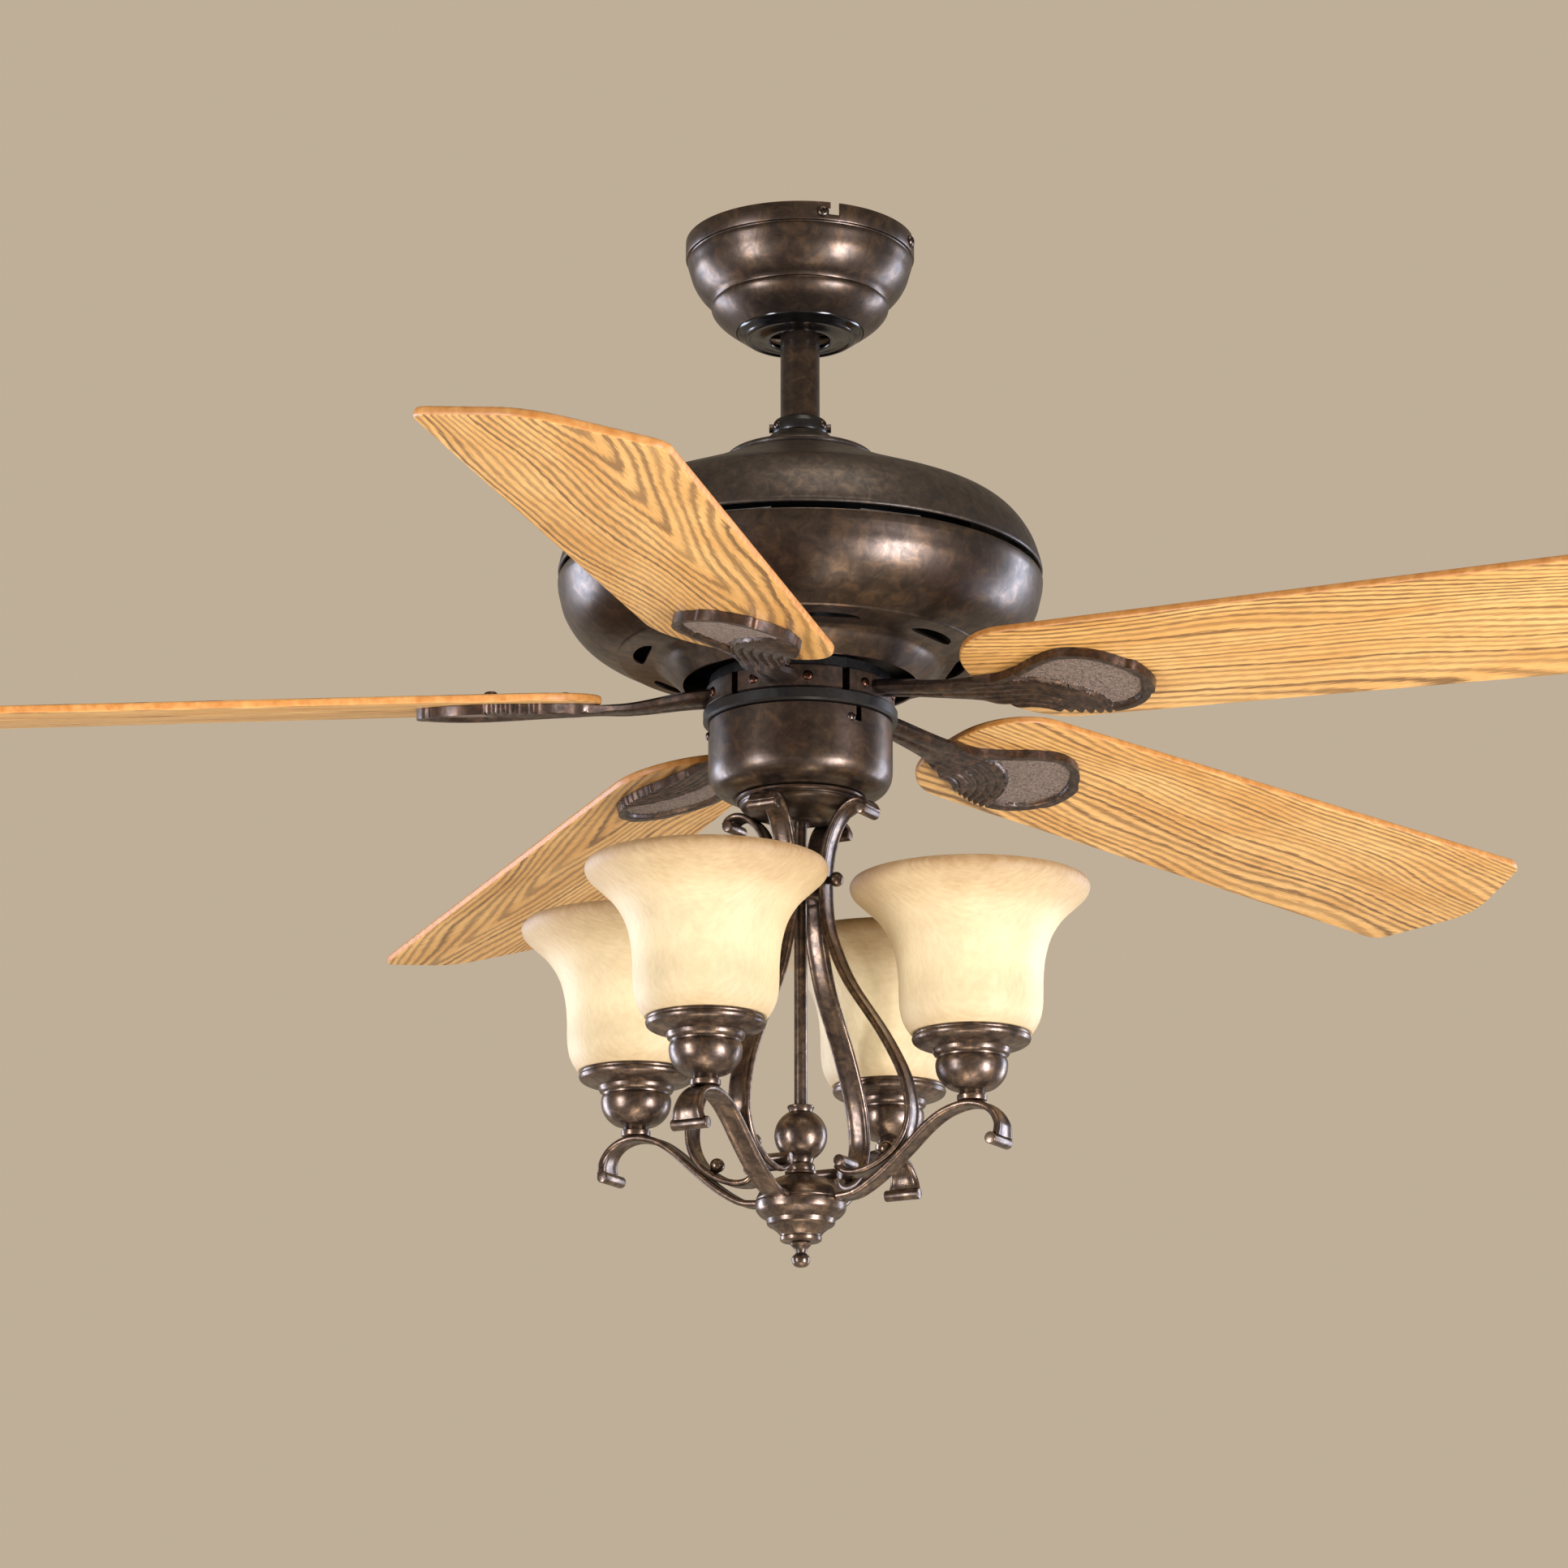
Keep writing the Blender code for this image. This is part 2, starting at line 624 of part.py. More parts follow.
keep(
    "flywheel",
    turned(
        [(SHAFT_RADIUS + 1.5, -ROTOR_BOTTOM_DROP + ROTOR_WALL),
         (ROTOR_RADIUS - ROTOR_WALL - GAP, -ROTOR_BOTTOM_DROP + ROTOR_WALL),
         (ROTOR_RADIUS - ROTOR_WALL - GAP, -ROTOR_BOTTOM_DROP), (NECK_RADIUS, -ROTOR_BOTTOM_DROP),
         (NECK_RADIUS, -FOOT_TOP_DROP + 7), (FOOT_RADIUS - 2, -FOOT_TOP_DROP + 7),
         (FOOT_RADIUS - 2, -FOOT_TOP_DROP + GAP), (NECK_RADIUS - 5, -FOOT_TOP_DROP + GAP),
         (NECK_RADIUS - 5, -ROTOR_BOTTOM_DROP), (SHAFT_RADIUS + 1.5, -ROTOR_BOTTOM_DROP)],
        24, closed=True),
    (BLACK, 0.6, 0.5), spin,
)

# ---------------------------------------------------------------- blades and their irons

blade_outline = rounded(
    [
        (BLADE_ROOT, -BLADE_ROOT_HALF_WIDTH, 50.0, 5),
        (BLADE_TIP - 30.0, -BLADE_TIP_HALF_WIDTH, 16.0, 3),
        (BLADE_TIP + 1.5, 2.0, 50.0, 3),
        (BLADE_TIP - 31.5, BLADE_TIP_HALF_WIDTH, 16.0, 3),
        (BLADE_ROOT, BLADE_ROOT_HALF_WIDTH, 50.0, 5),
    ]
)
leaf_outline = [
    Vector((BLADE_ROOT + along, side))
    for along, side in curve(
        [(-8, -11), (16, -9), (36, -16), (58, -28), (79, -34), (100, -27), (116, -9), (122, 10),
         (113, 31), (96, 44), (74, 47), (52, 42), (30, 33), (10, 24), (-8, 17)], 1
    )
]
field_outline = [
    Vector((BLADE_ROOT + along, side))
    for along, side in curve(
        [(52, -16), (78, -26), (98, -20), (110, -6), (115, 10), (107, 26), (92, 35), (86, 20),
         (74, 2), (52, -16)], 1
    )[:-1]
]
blade_plane = (
    Matrix.Translation((0, 0, -BLADE_AXIS_DROP))
    @ Matrix.Rotation(math.radians(BLADE_DROOP), 4, "Y")
    @ Matrix.Rotation(math.radians(-BLADE_PITCH), 4, "X")
)
leaf_top = -BLADE_THICKNESS / 2 - GAP
leaf_low = leaf_top - IRON_THICKNESS
arm_end = blade_plane @ Vector((BLADE_ROOT + 14, 5, leaf_top - IRON_THICKNESS / 2))
foot_low = FOOT_TOP_DROP + FOOT_HEIGHT


def iron_arm():
    """Sweeps the strut from the foot to the leaf, turning into the pitch of the blade."""
    line = curve(
        [
            (FOOT_RADIUS - 9, 0, -FOOT_TOP_DROP - 7.5),
            (FOOT_RADIUS + 5, 0, -FOOT_TOP_DROP - 8.5),
            (FOOT_RADIUS + 22, 0, 0.75 * arm_end.z + 0.25 * (-FOOT_TOP_DROP - 8.0)),
            (FOOT_RADIUS + 45, 2, arm_end.z + 0.5),
            (arm_end.x, arm_end.y, arm_end.z),
        ], 2,
    )
    rings = []
    for index, point in enumerate(line):
        along = (line[min(index + 1, len(line) - 1)] - line[max(index - 1, 0)]).normalized()
        part = index / (len(line) - 1)
        roll = Matrix.Rotation(math.radians(-BLADE_PITCH * part), 3, along)
        side = roll @ Vector((0, 1, 0))
        rise = along.cross(side).normalized()
        wide = IRON_ARM_WIDTH / 2 * (1.0 + 0.15 * part)
        deep = (IRON_ARM_THICKNESS * (1 - part) + (IRON_THICKNESS - 0.6) * part) / 2
        rings.append(
            [point + side * wide * s + rise * deep * t for s, t in (
                (1.0, 0.3), (0.8, 1.0), (-0.8, 1.0), (-1.0, 0.3),
                (-1.0, -0.2), (-0.55, -1.0), (0.55, -1.0), (1.0, -0.2))]
        )
    return loft(rings)


def foot_sector():
    arc = []
    for k in range(7):
        angle = math.radians(FOOT_SPREAD * (k / 6 - 0.5))
        arc.append((FOOT_RADIUS * math.cos(angle), FOOT_RADIUS * math.sin(angle)))
    for k in range(4):
        angle = math.radians(FOOT_SPREAD * (0.5 - k / 3))
        arc.append((FOOT_BORE * math.cos(angle), FOOT_BORE * math.sin(angle)))
    return prism(arc, -foot_low, -FOOT_TOP_DROP)


for k in range(BLADE_COUNT):
    turn = rotation(BLADE_FIRST_AZIMUTH + k * 360 / BLADE_COUNT)
    iron = keep(
        f"blade_iron_{k + 1}", prism(leaf_outline, leaf_low, leaf_top, 1.2),
        (BRONZE, 0.9, 0.45), spin, matrix=turn @ blade_plane,
    )
    combine(iron, [iron_arm(), foot_sector()], "UNION", matrix=turn)
    combine(
        iron, [prism(field_outline, leaf_low - 2.0, leaf_low + 1.8)], "DIFFERENCE",
        matrix=turn @ blade_plane,
    )
    keep(
        f"blade_{k + 1}",
        prism(blade_outline, -BLADE_THICKNESS / 2, BLADE_THICKNESS / 2, 1.0),
        (OAK, 0.0, 0.45), spin, smooth=False, matrix=turn @ blade_plane,
    )

# ---------------------------------------------------------------- switch housing

plate_low = PLATE_TOP_DROP + PLATE_HEIGHT
keep(
    "switch_mount_plate",
    turned(
        [(SHAFT_RADIUS + GAP, -plate_low), (PLATE_RADIUS - 2, -plate_low),
         (PLATE_RADIUS, -plate_low + 1), (PLATE_RADIUS, -PLATE_TOP_DROP),
         (SHAFT_RADIUS + GAP, -PLATE_TOP_DROP)], 28, closed=True),
    (BLACK, 0.2, 0.5), hang,
)
switch_top = plate_low + GAP
cup = [
    (22.0, -SWITCH_BOTTOM_DROP),
    (SWITCH_RADIUS * 0.76, -SWITCH_BOTTOM_DROP),
    (SWITCH_RADIUS * 0.88, -SWITCH_BOTTOM_DROP + 4.0),
    (SWITCH_RADIUS * 0.965, -SWITCH_BOTTOM_DROP + 10.0),
    (SWITCH_RADIUS, -SWITCH_BOTTOM_DROP + 18.0),
    (SWITCH_RADIUS, -switch_top),
]
switch_housing = keep(
    "switch_housing", shell(cup, -SWITCH_WALL, 28), (BRONZE, 0.9, 0.35), hang
)
slot_mid = (switch_top + SWITCH_BOTTOM_DROP - 18.0) / 2
combine(
    switch_housing,
    [box((-2.8, SWITCH_RADIUS - 8, -slot_mid - SLIDER_TRAVEL - 3.3),
         (2.8, SWITCH_RADIUS + 4, -slot_mid + SLIDER_TRAVEL + 3.3))],
    "DIFFERENCE",
)
slider = keep(
    "reverse_switch",
    box((-2.4, SWITCH_RADIUS - 6, -slot_mid - 2.5), (2.4, SWITCH_RADIUS + 3, -slot_mid + 2.5)),
    (BLACK, 0.0, 0.4), slide, smooth=False,
)
combine(
    slider,
    [box((-6, SWITCH_RADIUS - 9, -slot_mid - 7), (6, SWITCH_RADIUS - 4, -slot_mid + 7))], "UNION",
)

cap_top = SWITCH_BOTTOM_DROP + GAP
cap_fall = KIT_CAP_BOTTOM_DROP - cap_top
keep(
    "light_kit_cap",
    turned(
        [(KIT_ROD_RADIUS + GAP, -KIT_CAP_BOTTOM_DROP),
         (KIT_CAP_RADIUS * 0.28, -KIT_CAP_BOTTOM_DROP),
         (KIT_CAP_RADIUS * 0.45, -cap_top - cap_fall * 0.78),
         (KIT_CAP_RADIUS * 0.90, -cap_top - cap_fall * 0.28),
         (KIT_CAP_RADIUS, -cap_top - cap_fall * 0.16), (KIT_CAP_RADIUS, -cap_top),
         (KIT_ROD_RADIUS + GAP, -cap_top)], 20, closed=True),
    (BRONZE, 0.9, 0.45), hang,
)

# ---------------------------------------------------------------- light kit spine

kit_rod_low = KIT_BALL_DROP - KIT_BALL_RADIUS - 2.5
keep(
    "light_kit_rod",
    rod((0, 0, -kit_rod_low + GAP), (0, 0, -cap_top + 1.0 - 2.0), KIT_ROD_RADIUS, 16),
    (BRONZE, 0.9, 0.4), hang,
)
keep(
    "strap_collar",
    turned(
        [(KIT_ROD_RADIUS + GAP, -KIT_COLLAR_DROP - 7), (KIT_COLLAR_RADIUS * 0.75, -KIT_COLLAR_DROP - 7),
         (KIT_COLLAR_RADIUS, -KIT_COLLAR_DROP - 4), (KIT_COLLAR_RADIUS, -KIT_COLLAR_DROP + 4),
         (KIT_COLLAR_RADIUS * 0.75, -KIT_COLLAR_DROP + 7), (KIT_ROD_RADIUS + GAP, -KIT_COLLAR_DROP + 7)],
        16, closed=True),
    (BRONZE, 0.9, 0.4), hang,
)
hub_top = HUB_DROP - 20.0
ball_turning = [(0.0, -hub_top + GAP), (8.8, -hub_top + GAP), (8.8, -hub_top + 6.0),
                (7.8, -KIT_BALL_DROP - KIT_BALL_RADIUS * 0.92)]
for k in range(7):
    tilt = math.radians(-56 + k * 18.5)
    ball_turning.append(
        (KIT_BALL_RADIUS * math.cos(tilt), -KIT_BALL_DROP + KIT_BALL_RADIUS * math.sin(tilt))
    )
ball_turning += [(8.8, -kit_rod_low - 0.8), (8.8, -kit_rod_low), (0.0, -kit_rod_low)]
keep("centre_ball", turned(ball_turning, 14), (BRONZE, 0.9, 0.35), hang)

hub_turning = [
    (0.0, -HUB_DROP - 24.0),
    (HUB_RADIUS * 0.43, -HUB_DROP - 24.0),
    (HUB_RADIUS * 0.45, -HUB_DROP - 19.5),
    (HUB_RADIUS * 0.68, -HUB_DROP - 15.0),
    (HUB_RADIUS * 0.74, -HUB_DROP - 12.5),
    (HUB_RADIUS * 0.80, -HUB_DROP - 8.5),
    (HUB_RADIUS * 0.98, -HUB_DROP - 4.0),
    (HUB_RADIUS, -HUB_DROP),
    (HUB_RADIUS * 0.97, -HUB_DROP + 5.0),
    (HUB_RADIUS * 0.86, -HUB_DROP + 11.0),
    (HUB_RADIUS * 0.62, -HUB_DROP + 16.5),
    (HUB_RADIUS * 0.35, -hub_top),
    (0.0, -hub_top),
]
keep("arm_hub", turned(hub_turning, 18), (BRONZE, 0.9, 0.35), hang)
finial_top = HUB_DROP + 24.0 + GAP
finial_drop = FINIAL_BOTTOM_DROP - finial_top
keep(
    "finial",
    turned(
        [(0.0, -FINIAL_BOTTOM_DROP), (3.0, -FINIAL_BOTTOM_DROP + finial_drop * 0.03),
         (5.6, -FINIAL_BOTTOM_DROP + finial_drop * 0.22), (5.8, -FINIAL_BOTTOM_DROP + finial_drop * 0.42),
         (3.4, -FINIAL_BOTTOM_DROP + finial_drop * 0.66), (5.0, -FINIAL_BOTTOM_DROP + finial_drop * 0.8),
         (7.0, -finial_top), (0.0, -finial_top)], 14),
    (BRONZE, 0.9, 0.35), hang,
)

# ---------------------------------------------------------------- arms, straps, cups and shades

arm_points = [
    (HUB_RADIUS + GAP, -HUB_DROP + 3.0),
    (ARM_REACH * 0.330, -HUB_DROP + 4.5),
    (ARM_REACH * 0.425, -HUB_DROP + 10.5),
    (ARM_REACH * 0.528, -HUB_DROP + 19.5),
    (ARM_REACH * 0.640, -HUB_DROP + 31.2),
    (ARM_REACH * 0.736, -HUB_DROP + 41.8),
    (ARM_REACH * 0.824, -ARM_CREST_DROP - 5.6),
    (ARM_REACH * 0.912, -ARM_CREST_DROP - 1.4),
    (ARM_REACH, -ARM_CREST_DROP),
    (ARM_REACH * 1.080, -ARM_CREST_DROP - 2.4),
    (ARM_REACH * 1.140, -ARM_CREST_DROP - 7.8),
    (ARM_REACH * 1.172, -ARM_CREST_DROP - 15.5),
    (ARM_REACH * 1.170, -ARM_CREST_DROP - 23.0),
]
arm_line = curve(arm_points, 1)
arm_roll = (ARM_REACH * 1.170 - 2.6, -ARM_CREST_DROP - 25.5)
strap_points = [
    (STRAP_REACH * 0.655, -408.0),
    (STRAP_REACH * 0.625, -404.0),
    (STRAP_REACH * 0.555, -402.2),
    (STRAP_REACH * 0.465, -404.5),
    (STRAP_REACH * 0.360, -413.0),
    (STRAP_REACH * 0.285, -426.0),
    (STRAP_REACH * 0.245, -440.0),
    (KIT_COLLAR_RADIUS + GAP + STRAP_THICKNESS / 2, -KIT_COLLAR_DROP),
    (STRAP_REACH * 0.250, -480.0),
    (STRAP_REACH * 0.310, -498.0),
    (STRAP_REACH * 0.455, -524.0),
    (STRAP_REACH * 0.750, -559.5),
    (STRAP_REACH * 0.935, -588.0),
    (STRAP_REACH, -610.0),
    (STRAP_REACH * 0.982, -624.0),
    (STRAP_REACH * 0.908, -634.8),
    (STRAP_REACH * 0.810, -641.8),
    (STRAP_REACH * 0.687, -647.2),
    (STRAP_REACH * 0.552, -650.2),
    (STRAP_REACH * 0.445, -649.6),
    (STRAP_REACH * 0.375, -645.5),
]
strap_line = curve(strap_points, 1)
strap_top_roll = (STRAP_REACH * 0.655 - 3.2, -409.5)
strap_low_roll = (STRAP_REACH * 0.375 + 2.8, -642.6)


def widening(count, start, middle, end, fade):
    """Widths along a bar that flares towards its ends."""
    widths = []
    for index in range(count):
        part = index / (count - 1)
        lead = max(0.0, 1 - part / fade) ** 2
        tail = max(0.0, 1 - (1 - part) / fade) ** 2
        widths.append(middle + (start - middle) * lead + (end - middle) * tail)
    return widths


def roll(spot, width):
    half = width / 2 + 0.4
    return rod((spot[0], -half, spot[1]), (spot[0], half, spot[1]), ROLL_RADIUS, 12)


stem_low = ARM_CREST_DROP - ARM_THICKNESS / 2 - GAP
well_low = CUP_TOP_DROP + 14.0
cup_profile = [
    (2.5, -stem_low),
    (CUP_RADIUS * 0.25, -stem_low),
    (CUP_RADIUS * 0.25, -stem_low + 4.0),
    (CUP_RADIUS * 0.215, -CUP_TOP_DROP - 38.5),
    (CUP_RADIUS * 0.38, -CUP_TOP_DROP - 36.5),
    (CUP_RADIUS * 0.53, -CUP_TOP_DROP - 30.0),
    (CUP_RADIUS * 0.605, -CUP_TOP_DROP - 21.5),
    (CUP_RADIUS * 0.585, -CUP_TOP_DROP - 16.0),
    (CUP_RADIUS * 0.66, -CUP_TOP_DROP - 12.0),
    (CUP_RADIUS * 0.90, -CUP_TOP_DROP - 8.0),
    (CUP_RADIUS, -CUP_TOP_DROP - 4.0),
    (CUP_RADIUS * 0.985, -CUP_TOP_DROP),
    (CUP_RADIUS * 0.955, -CUP_TOP_DROP),
    (CUP_RADIUS * 0.94, -CUP_TOP_DROP - 4.2),
    (SOCKET_RADIUS + GAP, -CUP_TOP_DROP - 4.2),
    (SOCKET_RADIUS + GAP, -well_low),
    (2.5, -well_low),
]
shade_low = CUP_TOP_DROP + 4.2 - GAP
bell = (
    (SHADE_FOOT_RADIUS * 0.86, 0.0),
    (SHADE_FOOT_RADIUS, 0.035 * SHADE_HEIGHT),
    (SHADE_WAIST_RADIUS * 0.955, 0.14 * SHADE_HEIGHT),
    (SHADE_WAIST_RADIUS, 0.26 * SHADE_HEIGHT),
    (SHADE_WAIST_RADIUS * 1.01, 0.40 * SHADE_HEIGHT),
    (SHADE_WAIST_RADIUS * 1.05, 0.54 * SHADE_HEIGHT),
    (SHADE_WAIST_RADIUS * 1.15, 0.68 * SHADE_HEIGHT),
    (SHADE_WAIST_RADIUS * 0.55 + SHADE_RIM_RADIUS * 0.45, 0.80 * SHADE_HEIGHT),
    (SHADE_WAIST_RADIUS * 0.20 + SHADE_RIM_RADIUS * 0.80, 0.90 * SHADE_HEIGHT),
    (SHADE_RIM_RADIUS, 0.985 * SHADE_HEIGHT),
)
bell_outer = [(SOCKET_RADIUS + 1.0, -shade_low)] + [(r, -shade_low + z) for r, z in bell]
bulb_low = CUP_TOP_DROP - 26.0
bulb_profile = [(0.0, -bulb_low + 0.0), (9.5, -bulb_low + 0.0), (10.5, -bulb_low + 8.0)]
for k in range(5):
    tilt = math.radians(-50 + k * 31.0)
    bulb_profile.append(
        (BULB_RADIUS * math.cos(tilt),
         -bulb_low + BULB_HEIGHT - BULB_RADIUS + BULB_RADIUS * math.sin(tilt))
    )
bulb_profile.append((0.0, -bulb_low + BULB_HEIGHT))

for k in range(LIGHT_COUNT):
    turn = rotation(LIGHT_FIRST_AZIMUTH + k * 360 / LIGHT_COUNT)
    lamp = turn @ Matrix.Translation((ARM_REACH, 0, 0))
    arm = keep(
        f"light_arm_{k + 1}",
        bar(arm_line, widening(len(arm_line), ARM_WIDTH, ARM_WIDTH, ARM_END_WIDTH, 0.35),
            ARM_THICKNESS),
        (BRONZE, 0.9, 0.35), hang, smooth=False, matrix=turn,
    )
    combine(arm, [roll(arm_roll, ARM_END_WIDTH)], "UNION", matrix=turn)
    strap = keep(
        f"scroll_strap_{k + 1}",
        bar(strap_line,
            widening(len(strap_line), STRAP_END_WIDTH, STRAP_WIDTH, STRAP_END_WIDTH, 0.3),
            STRAP_THICKNESS),
        (BRONZE, 0.9, 0.35), hang, smooth=False, matrix=turn,
    )
    knob = (KIT_COLLAR_RADIUS + STRAP_THICKNESS + 7.2, 0, -KIT_COLLAR_DROP + 5.0)
    nut = (STRAP_REACH * 0.760, 0, -635.2)
    combine(
        strap,
        [roll(strap_top_roll, STRAP_END_WIDTH), roll(strap_low_roll, STRAP_END_WIDTH),
         sphere(knob, NUT_BALL_RADIUS),
         rod((KIT_COLLAR_RADIUS + STRAP_THICKNESS / 2, 0, knob[2]), knob, 2.2, 8),
         sphere(nut, NUT_BALL_RADIUS),
         rod(nut, (nut[0] + 4.2, 0, nut[2] - 6.0), 2.4, 8)],
        "UNION", matrix=turn,
    )
    keep(f"lamp_cup_{k + 1}", turned(cup_profile, 14, closed=True), (BRONZE, 0.9, 0.35), hang,
         matrix=lamp)
    keep(
        f"lamp_socket_{k + 1}",
        turned(
            [(0.0, -well_low + GAP), (SOCKET_RADIUS, -well_low + GAP),
             (SOCKET_RADIUS, -bulb_low - 4.0), (11.0, -bulb_low - 4.0 + 2.0), (11.0, -bulb_low - GAP),
             (0.0, -bulb_low - GAP)], 14),
        (BLACK, 0.0, 0.5), hang, matrix=lamp,
    )
    keep(f"glass_shade_{k + 1}", shell(bell_outer, -SHADE_WALL, 20), (GLASS, 0.0, 0.35, 0.4), hang,
         matrix=lamp)
    keep(f"bulb_{k + 1}", turned(bulb_profile, 10), (GLASS, 0.0, 0.3), hang, matrix=lamp)
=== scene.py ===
"""Ceiling fan with a four-light kit: the finished look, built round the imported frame."""

import math

import bpy
from mathutils import Matrix, Vector


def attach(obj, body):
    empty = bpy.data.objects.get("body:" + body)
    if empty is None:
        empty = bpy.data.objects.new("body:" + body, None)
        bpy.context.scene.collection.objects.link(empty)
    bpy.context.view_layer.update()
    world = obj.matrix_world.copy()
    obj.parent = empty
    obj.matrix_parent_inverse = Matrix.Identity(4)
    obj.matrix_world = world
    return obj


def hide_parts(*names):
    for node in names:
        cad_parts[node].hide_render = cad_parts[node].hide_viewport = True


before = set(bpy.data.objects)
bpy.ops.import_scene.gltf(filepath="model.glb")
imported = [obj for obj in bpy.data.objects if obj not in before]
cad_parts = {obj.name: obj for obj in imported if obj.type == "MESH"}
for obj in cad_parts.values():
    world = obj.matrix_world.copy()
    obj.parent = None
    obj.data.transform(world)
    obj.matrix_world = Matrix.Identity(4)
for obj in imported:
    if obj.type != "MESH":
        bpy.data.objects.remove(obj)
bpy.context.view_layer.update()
MM = 0.001
DOUBLED = 0.00001
bpy.context.scene.view_settings.view_transform = "Standard"

# ---------------------------------------------------------------- camera, lights and stage

CAMERA_SPOT = (0.0, -3.0156, -1.2026)
CAMERA_PITCH = 15.18
CAMERA_TURN = 0.208
bpy.ops.object.select_all(action="DESELECT")
bpy.ops.object.camera_add(
    location=CAMERA_SPOT,
    rotation=(math.radians(90 + CAMERA_PITCH), 0.0, math.radians(CAMERA_TURN)),
)
camera = bpy.context.object
camera.data.sensor_width = 36.0
camera.data.lens = 107.87
camera.data.clip_start = 0.05
bpy.context.scene.camera = camera


def linear(code):
    """A six-digit sRGB hex colour as the linear values that shaders take."""
    parts = []
    for start in (1, 3, 5):
        value = int(code[start:start + 2], 16) / 255
        parts.append(value / 12.92 if value <= 0.04045 else ((value + 0.055) / 1.055) ** 2.4)
    return (*parts, 1.0)


studio = bpy.data.worlds.new("studio_air")
studio.use_nodes = True
backdrop = studio.node_tree.nodes["Background"]
backdrop.inputs["Color"].default_value = linear("#bfaf99")
# The backdrop shows at full strength and lights the fan at a little over half of it.
LIGHT_SHARE = 0.58
seen = studio.node_tree.nodes.new("ShaderNodeLightPath")
share = studio.node_tree.nodes.new("ShaderNodeMapRange")
share.inputs["To Min"].default_value = LIGHT_SHARE
studio.node_tree.links.new(seen.outputs["Is Camera Ray"], share.inputs["Value"])
studio.node_tree.links.new(share.outputs["Result"], backdrop.inputs["Strength"])
bpy.context.scene.world = studio

FAN_MIDDLE = Vector((0.0, 0.0, -0.36))


def softbox(name, azimuth, elevation, distance, wide, tall, watts, tint):
    """A soft light panel; azimuth 0 is in front of the fan and 90 to its right."""
    a = math.radians(azimuth)
    e = math.radians(elevation)
    way = Vector((math.sin(a) * math.cos(e), -math.cos(a) * math.cos(e), math.sin(e)))
    bpy.ops.object.light_add(type="AREA", location=FAN_MIDDLE + way * distance)
    panel = bpy.context.object
    panel.name = name
    panel.rotation_euler = way.to_track_quat("Z", "Y").to_euler()
    panel.data.shape = "RECTANGLE"
    panel.data.size = wide
    panel.data.size_y = tall
    panel.data.energy = watts
    panel.data.color = linear(tint)[:3]
    panel.visible_camera = False


softbox("softbox_front_right", 48, -24, 2.4, 0.6, 1.2, 88, "#f4f5ff")
softbox("softbox_front_left", -54, -14, 2.4, 0.45, 1.3, 50, "#f2f4ff")
softbox("softbox_side_right", 122, -6, 2.5, 0.6, 1.7, 40, "#dbe6ff")
softbox("softbox_side_left", -122, -8, 2.5, 0.7, 1.7, 50, "#dbe6ff")
softbox("softbox_below", 0, -68, 2.6, 1.4, 1.4, 26, "#fff1df")
softbox("softbox_above", 20, 62, 3.0, 1.6, 1.6, 34, "#fff4e6")

FLOOR_RADIUS = 14
FLOOR_HEIGHT = -3.9
bpy.ops.object.select_all(action="DESELECT")
bpy.ops.mesh.primitive_circle_add(
    vertices=96, radius=FLOOR_RADIUS, fill_type="NGON", location=(0, 0, FLOOR_HEIGHT))
floor = bpy.context.object
floor.name = "studio_floor"

# ---------------------------------------------------------------- finishes


def add(tree, kind, settings=None, sockets=None):
    """Adds one node, with its settings and its sockets' values or links."""
    made = tree.nodes.new("ShaderNode" + kind)
    for name, value in (settings or {}).items():
        setattr(made, name, value)
    for name, value in (sockets or {}).items():
        if isinstance(value, bpy.types.NodeSocket):
            tree.links.new(value, made.inputs[name])
        else:
            made.inputs[name].default_value = value
    return made


def object_spot(tree):
    return add(tree, "TexCoord").outputs["Object"]


def noise(tree, spot, scale, detail, roughness, distortion=0.0):
    """Cloudy noise, with this many features to a metre."""
    return add(tree, "TexNoise", sockets={
        "Vector": spot, "Scale": scale, "Detail": detail, "Roughness": roughness,
        "Distortion": distortion}).outputs["Fac"]


def between(tree, value, low, high, to_low=0.0, to_high=1.0):
    """Carries a value from one range to another."""
    return add(tree, "MapRange", sockets={
        "Value": value, "From Min": low, "From Max": high, "To Min": to_low,
        "To Max": to_high}).outputs["Result"]


def figure(tree, operation, *values, clamp=False):
    return add(tree, "Math", {"operation": operation, "use_clamp": clamp},
               dict(enumerate(values))).outputs[0]


def ramp(tree, value, *stops, ease=False):
    """Colours along a value, from (position, colour) stops."""
    made = add(tree, "ValToRGB", sockets={"Fac": value})
    marks = made.color_ramp.elements
    marks.remove(marks[1])
    marks[0].position, marks[0].color = stops[0]
    for spot, colour in stops[1:]:
        marks.new(spot).color = colour
    if ease:
        made.color_ramp.interpolation = "EASE"
    return made.outputs["Color"]


def mixed(tree, share, one, other, blend="MIX"):
    """Two colours mixed by a share."""
    return add(tree, "Mix", {"data_type": "RGBA", "blend_type": blend}, {
        0: share, 6: one, 7: other}).outputs[2]


def bump(tree, shader, height, strength, distance, invert=False):
    """Gives the surface the relief of a pattern."""
    skin = add(tree, "Bump", {"invert": invert}, {
        "Strength": strength, "Distance": distance, "Height": height})
    tree.links.new(skin.outputs["Normal"], shader.inputs["Normal"])


def finish(name, **sockets):
    """A new material with its Principled shader's plain values."""
    made = bpy.data.materials.new(name)
    made.use_nodes = True
    shader = made.node_tree.nodes["Principled BSDF"]
    for socket, value in sockets.items():
        shader.inputs[socket.replace("_", " ")].default_value = value
    return made, made.node_tree, shader


def grey(value):
    return (value, value, value, 1.0)


